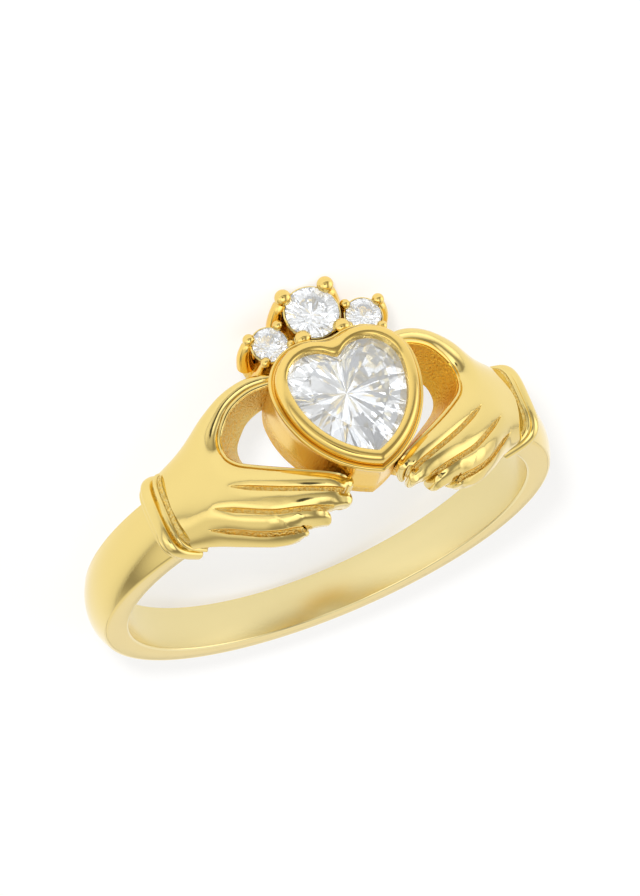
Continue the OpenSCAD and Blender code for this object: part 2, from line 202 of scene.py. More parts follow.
def strips(rows, columns, around_rows=False, around_columns=False):
    """Four-sided faces of a grid of places"""
    faces = []
    for i in range(rows if around_rows else rows - 1):
        for k in range(columns if around_columns else columns - 1):
            a = i * columns + k
            b = i * columns + (k + 1) % columns
            c = (i + 1) % rows * columns + (k + 1) % columns
            d = (i + 1) % rows * columns + k
            faces.append((a, b, c, d))
    return faces


def tube(rings):
    """Places and faces of a closed solid through rings of places"""
    rings = np.asarray(rings)
    rows, columns = rings.shape[:2]
    faces = strips(rows, columns, around_columns=True)
    faces.append(tuple(range(columns)))
    faces.append(tuple(range((rows - 1) * columns, rows * columns)))
    return rings.reshape(-1, 3), faces


# Band
def band_half(z):
    """Half width of the band at a height above the middle of the ring"""
    back, front = BAND_BACK_W / 2, BAND_FRONT_W / 2
    return back + (front - back) * (z + BORE_R + BAND_T) / (2 * (BORE_R + BAND_T))


def band_profile():
    """Section of the band at its widest, with its corners rounded: [across, height above the hole]"""
    half = BAND_FRONT_W / 2
    crest = BAND_T - BAND_DOME_R
    across = np.linspace(-half, half, DOME_STEPS + 1)
    dome = np.stack([across, crest + np.sqrt(BAND_DOME_R ** 2 - across ** 2)], -1)
    sides = np.array([[half, 0.0], [-half, 0.0]])
    corners = (0, DOME_STEPS, DOME_STEPS + 1, DOME_STEPS + 2)
    return rounded_corners(np.vstack([dome, sides]), corners, BAND_EDGE)


def rounded_corners(loop, corners, size):
    """Closed line whose named corners are cut by small arcs"""
    out = []
    for i, p in enumerate(loop):
        if i not in corners:
            out.append(p)
            continue
        ends = []
        for q in (loop[i - 1], loop[(i + 1) % len(loop)]):
            v = q - p
            ends.append(p + v / np.linalg.norm(v) * size)
        for t in np.linspace(0, 1, CORNER_STEPS):
            out.append((1 - t) ** 2 * ends[0] + 2 * t * (1 - t) * p + t ** 2 * ends[1])
    kept = [out[0]]
    for p in out[1:]:
        if np.linalg.norm(p - kept[-1]) > SAME_PLACE:
            kept.append(p)
    return np.array(kept)


def new_tree(name, sockets):
    """Geometry Nodes tree with named inputs, and the identifiers of its inputs"""
    tree = bpy.data.node_groups.new(name, "GeometryNodeTree")
    found = {}
    tree.interface.new_socket("Geometry", in_out="INPUT", socket_type="NodeSocketGeometry")
    for label, kind in sockets:
        found[label] = tree.interface.new_socket(label, in_out="INPUT", socket_type=kind).identifier
    tree.interface.new_socket("Geometry", in_out="OUTPUT", socket_type="NodeSocketGeometry")
    return tree, found


def node(tree, kind, settings=None, **links):
    """Adds a node with its settings, and the sockets or values that feed its inputs, i0 being the first"""
    made = tree.nodes.new(kind)
    for key, value in (settings or {}).items():
        setattr(made, key, value)
    for key, value in links.items():
        numbered = key[0] == "i" and key[1:].isdigit()
        socket = made.inputs[int(key[1:]) if numbered else key]
        if isinstance(value, bpy.types.NodeSocket):
            tree.links.new(value, socket)
        else:
            socket.default_value = value
    return made


def end_tree(tree, geometry, material):
    """Ends a Geometry Nodes tree with real geometry in its material"""
    real = node(tree, "GeometryNodeRealizeInstances", Geometry=geometry)
    dressed = node(tree, "GeometryNodeSetMaterial", Geometry=real.outputs[0], Material=material)
    tree.links.new(dressed.outputs[0], tree.nodes.new("NodeGroupOutput").inputs[0])


def grown(name, base, tree, found, values):
    """Plain mesh of a base mesh after a Geometry Nodes tree with these values"""
    carrier = bpy.data.objects.new(name, base)
    bpy.context.scene.collection.objects.link(carrier)
    modifier = carrier.modifiers.new(name, "NODES")
    modifier.node_group = tree
    for label, value in values.items():
        modifier[found[label]] = value
    ready = carrier.evaluated_get(bpy.context.evaluated_depsgraph_get())
    mesh = bpy.data.meshes.new_from_object(ready)
    bpy.data.objects.remove(carrier)
    return mesh


def band_section():
    """The section of the band as an object, unpolished and painted paler, as painted brightness, on the
    side of the finger
    """
    loop = band_profile()
    count = len(loop)
    mesh = bpy.data.meshes.new("band_section")
    mesh.from_pydata([(y, x, 0) for x, y in loop], [(i, (i + 1) % count) for i in range(count)], [])
    satin = np.where(loop[:, 1] < BAND_EDGE, BAND_SATIN, 0)
    add_values(mesh, "grain", satin)
    # Painted brightness: the inside of the band is painted paler
    add_values(mesh, "deep", -BAND_PAINTED_PALE / BAND_SATIN * satin)
    section = bpy.data.objects.new("band_section", mesh)
    bpy.context.scene.collection.objects.link(section)
    return section


def band_tree():
    """Node tree that leads a section along an arc round the finger hole and narrows it towards the back"""
    tree, found = new_tree("band along its arc", [
        ("Hole radius", "NodeSocketFloat"), ("Start", "NodeSocketFloat"), ("Sweep", "NodeSocketFloat"),
        ("Steps", "NodeSocketInt"), ("Section", "NodeSocketObject"), ("Width share", "NodeSocketFloat"),
        ("Widening", "NodeSocketFloat"), ("Gold", "NodeSocketMaterial")])
    given = tree.nodes.new("NodeGroupInput").outputs
    arc = node(tree, "GeometryNodeCurveArc", Resolution=given["Steps"], Radius=given["Hole radius"],
               **{"Start Angle": given["Start"], "Sweep Angle": given["Sweep"]})
    shape = node(tree, "GeometryNodeObjectInfo", Object=given["Section"])
    outline = node(tree, "GeometryNodeMeshToCurve", Mesh=shape.outputs["Geometry"])
    swept = node(tree, "GeometryNodeCurveToMesh", Curve=arc.outputs["Curve"],
                 **{"Profile Curve": outline.outputs["Curve"], "Fill Caps": True})
    turned = node(tree, "GeometryNodeTransform", Geometry=swept.outputs["Mesh"],
                  Rotation=(math.radians(90), 0, 0))
    place = node(tree, "GeometryNodeInputPosition")
    split = node(tree, "ShaderNodeSeparateXYZ", Vector=place.outputs[0])
    share = node(tree, "ShaderNodeMath", {"operation": "MULTIPLY_ADD"}, i0=split.outputs["Z"],
                 i1=given["Widening"], i2=given["Width share"])
    width = node(tree, "ShaderNodeMath", {"operation": "MULTIPLY"}, i0=split.outputs["Y"],
                 i1=share.outputs[0])
    joined = node(tree, "ShaderNodeCombineXYZ", X=split.outputs["X"], Y=width.outputs[0],
                  Z=split.outputs["Z"])
    shaped = node(tree, "GeometryNodeSetPosition", Geometry=turned.outputs[0],
                  Position=joined.outputs[0])
    end_tree(tree, shaped.outputs[0], given["Gold"])
    return tree, found


def ring_band(material):
    """The band, from one cuff round the back to the other"""
    section = band_section()
    tree, found = band_tree()
    front = BAND_FRONT_W / 2
    mesh = grown("ring_band", bpy.data.meshes.new("band_base"), tree, found, {
        "Hole radius": BORE_R, "Start": math.radians(90 + BAND_START),
        "Sweep": math.radians(360 - 2 * BAND_START), "Steps": BAND_STEPS, "Section": section,
        "Width share": band_half(0) / front, "Widening": (band_half(1) - band_half(0)) / front,
        "Gold": material})
    bpy.data.objects.remove(section)
    return finished("ring_band", mesh, material, ("ring_body",), BAND_CRISP)


# Cuffs
# Section of a cuff from the band to the hand, with a low step, a bead, a thin line between two unpolished
# strips: [place along the band, how far it stands out of the core, grain]
CUFF_SECTION = [
    (0.475, 0, 0), (0.473, 0.08, 0), (0.462, 0.16, 0), (0.44, 0.23, 0), (0.405, 0.275, 0), (0.35, 0.305, 0),
    (0.29, 0.315, 0), (0.255, 0.31, 0), (0.24, 0.305, 0), (0.228, 0.32, 0), (0.21, 0.37, 0),
    (0.18, 0.415, 0), (0.13, 0.45, 0), (0.06, 0.472, 0), (-0.02, 0.475, 0), (-0.1, 0.468, 0),
    (-0.17, 0.44, 0), (-0.22, 0.4, 0), (-0.252, 0.34, 0), (-0.265, 0.26, 0), (-0.27, 0.21, 0.5),
    (-0.28, 0.2, 1), (-0.37, 0.2, 1), (-0.38, 0.21, 0.5), (-0.39, 0.27, 0), (-0.405, 0.34, 0),
    (-0.43, 0.385, 0), (-0.47, 0.4, 0), (-0.51, 0.385, 0), (-0.54, 0.34, 0), (-0.552, 0.295, 0.6),
    (-0.57, 0.285, 1), (-0.66, 0.285, 1), (-0.74, 0.28, 1), (-0.765, 0.26, 0.6), (-0.77, 0.1, 0)]


def cuff(name, side, material):
    """A cuff: an arch over the band at each place of its section, closed along the finger hole"""
    mid_r = BORE_R + CUFF_T / 2
    core = CUFF_BEAD / 2
    foot = INNER_R + CUFF_FOOT
    in_y, up = CUFF_CORNER
    turns = np.linspace(0, math.pi, CUFF_ARCH_STEPS)
    square = np.sign(np.cos(turns)) * np.abs(np.cos(turns)) ** CUFF_SQUARE
    arch = np.sin(turns) ** CUFF_SQUARE
    rings = []
    grain = []
    for along, out, rough in CUFF_SECTION:
        half = CUFF_W / 2 - core + out
        top = BORE_R + CUFF_T - core + out
        base = np.linspace(-half + 2 * in_y, half - 2 * in_y, CUFF_SIDE_STEPS)
        y = np.concatenate([[half - in_y, half], half * square, [-half, -half + in_y], base])
        r = np.concatenate([[INNER_R, INNER_R + up], foot + (top - foot) * arch, [INNER_R + up, INNER_R],
                            np.full(len(base), INNER_R)])
        angle = side * (CUFF_ANGLE + along / mid_r * 180 / math.pi)
        rings.append(around(angle, r, y + CUFF_Y))
        grain += [rough] * len(y)
    places, faces = tube(rings)
    return piece(name, places, faces, material, shades={"grain": grain})


# Heart bezel
def heart(d, cleft_r, steps=HEART_STEPS):
    """Outline of the heart, grown by d all round, with the hollow between its lobes rounded"""
    lobe, side, side_x = LOBE_R + d, SIDE_R + d, HALF_W - SIDE_R
    cleft_dy = math.sqrt((lobe + cleft_r) ** 2 - LOBE_X ** 2)
    meet = math.atan2(cleft_dy, -LOBE_X)
    tip = -math.acos(-side_x / side)
    half = []
    for i in range(steps[0]):
        a = -math.pi / 2 + (meet - math.pi / 2) * i / steps[0]
        half.append((cleft_r * math.cos(a), cleft_dy + cleft_r * math.sin(a)))
    for i in range(steps[1]):
        a = meet * (1 - i / steps[1])
        half.append((LOBE_X + lobe * math.cos(a), lobe * math.sin(a)))
    for i in range(steps[2] + 1):
        a = tip * i / steps[2]
        half.append((side_x + side * math.cos(a), side * math.sin(a)))
    whole = half + [(-x, y) for x, y in half[-2:0:-1]]
    return np.array(whole) + (0, HEART_Y)


# Section of the bezel from its inner edge over the rim, the groove and the ledge down its wall:
# [distance out from the opening, height from the crest, how far the hollow has spread, grain, which also
# sets the painted shade]
BEZEL_SECTION = [
    (0.0, -0.42, 0, 0), (0.004, -0.3, 0, 0), (0.01, -0.2, 0, 0), (0.018, -0.12, 0.02, 0),
    (0.034, -0.062, 0.06, 0), (0.06, -0.028, 0.1, 0), (0.1, -0.01, 0.14, 0), (0.16, 0, 0.2, 0),
    (0.22, 0.002, 0.26, 0), (0.275, -0.002, 0.32, 0), (0.335, -0.015, 0.42, 0), (0.385, -0.04, 0.52, 0),
    (0.43, -0.08, 0.62, 0), (0.462, -0.135, 0.72, 0), (0.485, -0.205, 0.8, 0), (0.5, -0.29, 0.88, 0),
    (0.508, -0.38, 0.94, 0), (0.51, -0.46, 1, 0), (0.512, -0.54, 1, 0.1), (0.522, -0.58, 1, 0.1),
    (0.545, -0.58, 1, 0), (0.56, -0.54, 1, 0), (0.583, -0.518, 1, 0), (0.62, -0.507, 1, 0),
    (0.655, -0.512, 1, 0), (0.682, -0.53, 1, 0), (0.7, -0.565, 1, 0), (0.707, -0.62, 1, 0),
    (0.705, -0.7, 1, 0), (0.695, -0.76, 1, 0), (0.675, -0.8, 1, 0), (0.64, -0.83, 1, 0.1),
    (0.6, -0.86, 1, 0.2), (0.565, -0.9, 1, 0.3), (0.55, -0.96, 1, 0.3), (0.545, -1.5, 1, 0.3),
    (0.545, -2.2, 1, 0.3)]
# Its foot has no height of its own, because it follows the finger hole.
BEZEL_FOOT = [(0.545, None, 1, 1), (0.5, None, 1, 1), (0.05, None, 0, 1)]
# The inside goes from the foot's last outline up to the stone's seat.
BEZEL_SEAT = [(0.03, -0.9, 0, 0.5), (0.02, -0.64, 0, 0), (0.115, -0.575, 0, 0), (0.115, -0.43, 0, 0)]
# The wall has this grain, and the painted shade is this deep on the rim and on the wall.
BEZEL_WALL_GRAIN = 0.3
BEZEL_PAINTED_SHADE = (0.3, 0.6)
# The inside, behind the stone, is painted this much paler, a painted brightness that the stone shows.
SEAT_PAINTED_PALE = 0.8


def bezel(material):
    """The heart's bezel: a ring of outlines over its rim, down its wall, along the hole and up inside"""
    rows = []
    grain = []
    for out, down, spread, rough in BEZEL_SECTION + BEZEL_FOOT + BEZEL_SEAT:
        line = heart(out, CLEFT_R + spread * CLEFT_SPREAD)
        if down is None:
            height = np.sqrt(INNER_R ** 2 - line[:, 0] ** 2)
        else:
            height = np.full(len(line), HEART_TOP + down)
        rows.append(np.column_stack([line, height]))
        grain += [rough] * len(line)
    rows = np.array(rows)
    count = rows.shape[1]
    faces = strips(len(rows), count, around_rows=True, around_columns=True)
    # Painted shade on the rim, deeper where the wall has grain
    deep = np.interp(grain, (0, BEZEL_WALL_GRAIN), BEZEL_PAINTED_SHADE)
    inside_rows = len(BEZEL_SEAT) + 1
    # Painted brightness: the inside behind the stone is painted paler
    deep[-inside_rows * count:] = -SEAT_PAINTED_PALE
    shades = {"grain": grain, "deep": deep}
    return piece("heart_bezel", rows.reshape(-1, 3), faces, material, shades=shades)


# Hands
# The hand is laid out flat: the angle from the heart times this gives millimetres along the band.
FLAT = 10.25 * math.pi / 180
# Places of the hand's smooth back: [angle, place along the finger axis, height above the finger hole]
HAND_BACK = [
    (50, -1.3, 1.5), (50, 0.1, 1.76), (50, 1.6, 1.5), (46, -1.3, 1.52), (46, 0.1, 1.77), (46, 1.7, 1.55),
    (38, 2.05, 1.68), (35, 1.2, 1.86), (32, 2.4, 1.97), (26, 2.85, 2.12), (20, 3.0, 2.2), (14, 3.0, 2.24),
    (33, 0.1, 1.93), (35.5, -0.58, 1.92), (38.5, -1.12, 1.78), (40, -1.7, 1.58), (27, -0.3, 2.02),
    (20, -0.99, 2.09), (13, -1.6, 2.03), (6.5, -2.05, 1.87), (28, -1.4, 2.0), (21.5, -1.87, 2.0),
    (15, -2.35, 1.9), (8.3, -2.65, 1.74), (32, -1.95, 1.86), (26.5, -2.5, 1.84), (20, -2.85, 1.74),
    (14.3, -3.05, 1.55), (32, -2.75, 1.6), (26, -3.1, 1.5), (20.4, -3.2, 1.4)]
# Outlines: [angle, place along the finger axis, roundness of the edge, how far the foot is drawn in]
THUMB_SIDE = [
    (52, 1.88, 0.7, 0.1), (49, 1.92, 0.7, 0.15), (46, 2, 0.75, 0.2), (41.3, 2.2, 0.8, 0.25),
    (36, 2.5, 0.75, 0.25), (30.6, 2.86, 0.6, 0.25), (25.1, 3.2, 0.48, 0.25), (20.1, 3.34, 0.42, 0.25),
    (15.9, 3.26, 0.4, 0.2), (11.5, 2.97, 0.36, 0.15)]
FORK = [
    (11.5, 2.68, 0.42, -0.2), (15.5, 2.8, 0.42, -0.3), (19.6, 2.8, 0.42, -0.33),
    (24, 2.56, 0.42, -0.33), (27, 2.12, 0.45, -0.28), (29, 1.66, 0.5, -0.22), (29.6, 1.22, 0.5, -0.18),
    (29.1, 0.8, 0.5, -0.15), (27.4, 0.4, 0.48, -0.13), (24.6, 0.03, 0.45, -0.13), (20, -0.5, 0.42, -0.18),
    (14.9, -1.02, 0.38, -0.18), (10, -1.48, 0.32, -0.12), (6.4, -1.86, 0.26, -0.05)]
# Fingertips: [angle, place along the finger axis, radius, direction that the finger points in]
TIPS = [(6.7, -2.07, 0.23, 206), (8.4, -2.65, 0.24, 200), (14.4, -3.0, 0.23, 196), (20.2, -3.14, 0.17, 192)]
# Corners between the fingertips
NOTCHES = [(8.7, -2.4), (13.9, -2.75), (19.6, -3.05)]
PALM_SIDE = [
    (22.5, -3.33, 0.45, 0.3), (24.7, -3.29, 0.7, 0.35), (28, -3.12, 0.85, 0.35), (30.8, -2.9, 0.95, 0.35),
    (36.4, -2.4, 1, 0.3), (41, -1.98, 0.9, 0.25), (46, -1.6, 0.6, 0.2), (49, -1.48, 0.6, 0.15),
    (52, -1.35, 0.6, 0.1)]
# Grooves between the fingers, from the pointed start to the fingertips
GROOVES = [
    [(31.3, -0.35), (25.7, -0.96), (20.1, -1.5), (14.5, -1.95), (10.2, -2.26), (8.2, -2.42)],
    [(36.6, -0.82), (30.5, -1.5), (24.5, -2.12), (19, -2.46), (14.8, -2.68), (12.3, -2.82)],
    [(40.3, -1.37), (34.5, -2.0), (29, -2.6), (24.5, -2.92), (20.8, -3.07), (18.5, -3.14)]]
# A groove opens over this share of its length, in this curve, and its steep sides are this wide.
GROOVE_START = 0.2
GROOVE_START_CURVE = 0.7
GROOVE_HALF = 0.105
GROOVE_DEPTH = 0.16
GROOVE_SIDE_W = 0.035
# A finger is rounded towards a groove by this much, over this width.
FINGER_ROUND = 0.05
FINGER_SIDE = 0.27
# How strong the painted shade on a groove's steep sides is
GROOVE_SIDE_PAINTED_SHADE = 0.9
# How strong the painted shade on the fork's wall is, on the left and on the right
WALL_PAINTED_SHADE = {-1: 0.1, 1: 1}
# Grain of the other walls
PLAIN_WALL_GRAIN = 0.2
# The round end of a finger goes this far round to each side, in so many places, and its foot is drawn in.
TIP_TURN = 100
TIP_STEPS = 15
TIP_UNDER = 0.45
# A finger drops towards its tip by this much, over this length, and fully only in its middle.
TIP_DROP = 0.26
TIP_RUN = 0.9
TIP_MIDDLE = 0.3
# The edge of the fork ends in a narrow level lip, and its roll is this steep where it meets the lip.
LIP = 0.07
ROLL_SHARE = 0.97
# A roll is this many times as wide as it is deep, and starts this gently.
ROLL_WIDTH = 1.8
ROLL_EASE = 1.25
# How closely the back follows its places
BACK_SOFTNESS = 0.02
# Steps of an outline, of the places between the edges, and of those on the underside
EDGE_STEP = 0.05
HAND_GRID = 0.055
UNDER_GRID = 0.5
# Rows of places this far in from an edge, and those that a lip has before them
EDGE_ROWS = (0.012, 0.035, 0.07, 0.115, 0.165, 0.22, 0.28, 0.34)
LIP_ROWS = (0.02, LIP - 0.012, LIP)
# A place of a row is left out if another edge is nearer than this share of the row's distance.
ROW_CLEAR = 0.85
# Rows of places this far out from the edges of a groove, down to its narrowest and no nearer to an edge
GROOVE_ROWS = (0.1, 0.05, 0.015, 0, -0.012, -0.024, -0.036, -0.07)
NARROWEST = 0.01
GROOVE_CLEAR = 0.02
# The grid ends this far outside a groove and starts again this far inside it.
GRID_CLEAR = (0.13, 0.11)
# A place on the underside's grid keeps this far from its edge.
UNDER_CLEAR = 0.15
# Steps down a wall, and the share of the draft that the fork's wall has at its top
WALL_STEPS = (0.02, 0.08, 0.22, 0.42, 0.64, 0.84, 1.0)
DRAFT_START = 0.2
# How often the directions of a wall are evened out where it follows its edge, and where it runs straight
CLOSE_TIMES = 4
STRAIGHT_TIMES = 300
# Places closer than this are one where they are joined up, on the back and on the underside.
BACK_JOIN = 1e-5
UNDER_JOIN = 1e-7


def smooth_field(places, softness):
    """Smooth surface over scattered places [x, y, value]: a thin plate that may miss them a little"""
    p = np.array(places, float)
    xy, value = p[:, :2], p[:, 2]
    n = len(p)

    def bend(r):
        return np.where(r > 0, r * r * np.log(np.maximum(r, TINY)), 0)

    system = np.zeros((n + 3, n + 3))
    system[:n, :n] = bend(np.linalg.norm(xy[:, None] - xy[None], axis=-1)) + softness * np.eye(n)
    system[:n, n:] = np.column_stack([np.ones(n), xy])
    system[n:, :n] = system[:n, n:].T
    weights = np.linalg.solve(system, np.concatenate([value, np.zeros(3)]))

    def at(points):
        points = np.asarray(points, float)
        out = weights[n] + points @ weights[n + 1:]
        for i in range(n):
            out = out + weights[i] * bend(np.linalg.norm(points - xy[i], axis=1))
        return out
    return at


def nearest(points, line):
    """For each point: its distance to a line of places, and the line's further numbers there"""
    best = np.full(len(points), np.inf)
    facts = np.zeros((len(points), line.shape[1] - 2))
    for a, b in zip(line[:-1], line[1:]):
        v = b[:2] - a[:2]
        t = np.clip(((points - a[:2]) @ v) / max(v @ v, TINY), 0, 1)
        away = np.linalg.norm(points - (a[:2] + t[:, None] * v), axis=1)
        closer = away < best
        best[closer] = away[closer]
        facts[closer] = a[2:] + t[closer, None] * (b[2:] - a[2:])
    return best, facts


def inside(points, loop):
    """Which points lie inside a closed loop"""
    x, y = points[:, 0], points[:, 1]
    crossings = np.zeros(len(points), bool)
    for (ax, ay), (bx, by) in zip(loop, np.roll(loop, -1, axis=0)):
        if ay == by:
            continue
        spans = (ay > y) != (by > y)
        crossings ^= spans & (x < (bx - ax) * (y - ay) / (by - ay) + ax)
    return crossings


def grid_inside(loop, step):
    """Places at even steps inside a closed loop"""
    lo, hi = loop.min(0), loop.max(0)
    gx, gy = np.meshgrid(np.arange(lo[0], hi[0], step), np.arange(lo[1], hi[1], step))
    grid = np.column_stack([gx.ravel(), gy.ravel()])
    return grid[inside(grid, loop)]


def joined_up(places, count, closeness):
    """Triangles over flat places, inside the closed loop that the first of them make"""
    ring = [(i, (i + 1) % count) for i in range(count)]
    out = delaunay_2d_cdt([Vector(p) for p in places.tolist()], ring, [], 1, closeness)
    points = np.array([tuple(p) for p in out[0]])
    faces = np.array(out[2])
    return points, faces[inside(points[faces].mean(1), places[:count])]


def flat_line(places):
    """Smooth line on the flat layout from places that start with an angle"""
    p = np.array(places, float)
    p[:, 0] *= FLAT
    return curve(p, EDGE_STEP)


def tip_arc(tip):
    """The round end of a finger"""
    angle, y, r, way = tip
    turns = np.radians(way + np.linspace(-TIP_TURN, TIP_TURN, TIP_STEPS))
    return np.column_stack([angle * FLAT + r * np.cos(turns), y + r * np.sin(turns),
                            np.full(TIP_STEPS, r), np.full(TIP_STEPS, TIP_UNDER)])


def stepped(line):
    """The same line with its long stretches divided"""
    out = [line[0]]
    for a, b in zip(line[:-1], line[1:]):
        count = max(1, int(round(np.linalg.norm(b[:2] - a[:2]) / EDGE_STEP)))
        out += [a + (b - a) * (i + 1) / count for i in range(count)]
    return np.array(out)


def hand_edges():
    """The hand's edges on the flat layout: the thumb's, the fork's, and the fingers' with the palm's"""
    fingers = []
    for tip, notch in zip(TIPS, NOTCHES + [None]):
        fingers.append(tip_arc(tip))
        if notch:
            fingers.append(np.array([[notch[0] * FLAT, notch[1], tip[2], TIP_UNDER]]))
    below = np.vstack(fingers + [flat_line(PALM_SIDE)])
    return flat_line(THUMB_SIDE), flat_line(FORK), stepped(below)


def inward(line, loop=False):
    """Unit directions to the left of a line, which is inside where it runs anticlockwise"""
    if loop:
        along = np.roll(line, -1, axis=0) - np.roll(line, 1, axis=0)
    else:
        along = np.gradient(line, axis=0)
    left = np.column_stack([-along[:, 1], along[:, 0]])
    return left / np.maximum(np.linalg.norm(left, axis=1), TINY)[:, None]


def smoothed(ways, times):
    """Unit directions round a closed line, each evened out with its neighbours so many times"""
    for _ in range(times):
        ways = ways + np.roll(ways, 1, axis=0) + np.roll(ways, -1, axis=0)
        ways /= np.linalg.norm(ways, axis=1)[:, None]
    return ways


def groove_lines():
    """Middle lines of the grooves on the flat layout, with their half width: each starts in a point"""
    lines = []
    for places in GROOVES:
        line = flat_line(places)
        share = np.clip(np.linspace(0, 1, len(line)) / GROOVE_START, 0, 1) ** GROOVE_START_CURVE
        lines.append(np.column_stack([line, GROOVE_HALF * share]))
    return lines


def roll(depth, rho):
    """How far a rounded edge lies below the back, at a depth in from the edge"""
    near = ROLL_SHARE * np.clip(1 - depth / (ROLL_WIDTH * rho), 0, 1) ** ROLL_EASE
    return rho * (1 - np.sqrt(1 - near ** 2))


def finger_drop(points, tip):
    """How far a finger lies below the back towards its tip"""
    angle, y, r, way = tip
    ahead = np.array([math.cos(math.radians(way)), math.sin(math.radians(way))])
    off = points - (angle * FLAT, y)
    share = np.clip((off @ ahead + TIP_RUN) / (TIP_RUN + r), 0, 1) ** 2
    beside = np.clip(np.abs(off @ (-ahead[1], ahead[0])) / FINGER_SIDE - TIP_MIDDLE, 0, 1)
    return TIP_DROP * share * (1 - beside) ** 2 * (1 + 2 * beside)


def groove_cut(points, line):
    """How far a groove and its fingers' rounding lie below the back, how far down the groove's side a
    place is from 0 to 1, and how steep it is there"""
    away, facts = nearest(points, line)
    half = facts[:, 0]
    share = half / GROOVE_HALF
    past = away - half
    deep = np.clip(-past / GROOVE_SIDE_W, 0, 1)
    deep = deep * deep * (3 - 2 * deep)
    beside = FINGER_ROUND * np.clip(1 - past / FINGER_SIDE, 0, 1) ** 2
    within = FINGER_ROUND + GROOVE_DEPTH * deep
    return share * np.where(past > 0, beside, within), deep, 4 * deep * (1 - deep) * share


class Hand:
    """One hand on its flat layout: outline, heights and mesh"""

    def __init__(self):
        self.edges = hand_edges()
        self.lips = (0, LIP, 0)
        self.grooves = groove_lines()
        self.outline = np.vstack(self.edges)
        self.loop = np.vstack([self.outline, self.outline[:1]])
        back = np.array(HAND_BACK)
        back[:, 0] *= FLAT
        self.back = smooth_field(back, BACK_SOFTNESS)

    def height(self, points):
        """Height above the finger hole, how unpolished a place is, and how steep the grooves' sides are"""
        z = self.back(points)
        for edge, lip in zip(self.edges, self.lips):
            away, facts = nearest(points, edge)
            z = z - roll(np.maximum(away - lip, 0), facts[:, 0])
        for tip in TIPS:
            z = z - finger_drop(points, tip)
        grain = np.zeros(len(points))
        steep = np.zeros(len(points))
        for line in self.grooves:
            down, deep, side = groove_cut(points, line)
            z = z - down
            grain = np.maximum(grain, deep)
            steep = np.maximum(steep, side)
        return z, grain, steep

    def places(self):
        """Places to join up on the flat layout: outline, rows along the edges and grooves, and a grid"""
        outline = self.outline[:, :2]
        kept = [outline]
        for edge, lip in zip(self.edges, self.lips):
            left = inward(edge[:, :2])
            for depth in (LIP_ROWS if lip else ()) + tuple(lip + d for d in EDGE_ROWS):
                row = edge[:, :2] + left * depth
                away, _ = nearest(row, self.loop)
                kept.append(row[inside(row, outline) & (away > ROW_CLEAR * depth)])
        for line in self.grooves:
            left = inward(line[:, :2])
            for out in GROOVE_ROWS:
                wide = line[:, 2:3] + out
                for way in (1, -1):
                    row = (line[:, :2] + way * left * wide)[wide[:, 0] > NARROWEST]
                    away, _ = nearest(row, self.loop)
                    kept.append(row[inside(row, outline) & (away > GROOVE_CLEAR)])
        grid = grid_inside(outline, HAND_GRID)
        away, _ = nearest(grid, self.loop)
        grid = grid[away > EDGE_ROWS[-1]]
        for line in self.grooves:
            away, facts = nearest(grid, line)
            past = away - facts[:, 0]
            grid = grid[(past > GRID_CLEAR[0]) | (past < -GRID_CLEAR[1])]
        return np.vstack(kept + [grid])

    def mesh(self):
        """Flat places, heights, shades and faces of the whole hand: its back, walls and underside"""
        points, faces = joined_up(self.places(), len(self.outline), BACK_JOIN)
        z, grain, steep = self.height(points)
        return self.walled(points, z, grain, steep, faces)

    def walled(self, points, z, grain, steep, faces):
        """The back with a wall all round it, down to an underside that follows the finger hole"""
        border = boundary(faces)
        count = len(border)
        loop = points[border]
        _, facts = nearest(loop, self.loop)
        under = facts[:, 1]
        fork = under < 0
        # The foot follows the fork closely, and elsewhere runs straight on below the fingertips.
        close = smoothed(inward(loop, loop=True), CLOSE_TIMES)
        left = np.where(fork[:, None], close, smoothed(close, STRAIGHT_TIMES))
        top = z[border]
        foot = INNER_R - BORE_R
        layers = [(points, z, grain, np.zeros(len(points)))]
        rings = [border]
        for i, t in enumerate(WALL_STEPS):
            shift = under * np.where(fork, DRAFT_START + (1 - DRAFT_START) * t, t ** 2)
            rough = np.where(fork, 1.0, PLAIN_WALL_GRAIN) * min(1, i)
            layers.append((loop + left * shift[:, None], top + (foot - top) * t, rough, 1.0 * fork))
            rings.append(len(points) + i * count + np.arange(count))
        base, base_faces = underside(layers[-1][0])
        fresh = base[count:]
        layers.append((fresh, np.full(len(fresh), foot), np.ones(len(fresh)), np.zeros(len(fresh))))
        ids = np.concatenate([rings[-1], rings[-1][-1] + 1 + np.arange(len(fresh))])
        whole = faces.tolist()
        for above, below in zip(rings, rings[1:]):
            whole += np.column_stack([above, below, np.roll(below, -1), np.roll(above, -1)]).tolist()
        whole += ids[base_faces].tolist()
        flat, z, grain, wall = (np.concatenate(part) for part in zip(*layers))
        shades = {"grain": grain, "wall": wall, "steep": np.pad(steep, (0, len(wall) - len(steep)))}
        return flat, z, shades, whole


def boundary(faces):
    """The one closed line of edges that have a face on a single side"""
    sides = {}
    for f in faces:
        for a, b in zip(f, np.roll(f, -1)):
            sides[(int(a), int(b))] = True
    onward = {a: b for a, b in sides if (b, a) not in sides}
    start = next(iter(onward))
    loop = [start]
    while onward[loop[-1]] != start:
        loop.append(onward[loop[-1]])
    return np.array(loop)


def underside(loop):
    """Faces inside a closed loop, with a few more places so that they follow the finger hole"""
    grid = grid_inside(loop, UNDER_GRID)
    away, _ = nearest(grid, np.vstack([loop, loop[:1]]))
    flat = np.vstack([loop, grid[away > UNDER_CLEAR]])
    _, faces = joined_up(flat, len(loop), UNDER_JOIN)
    return flat, faces


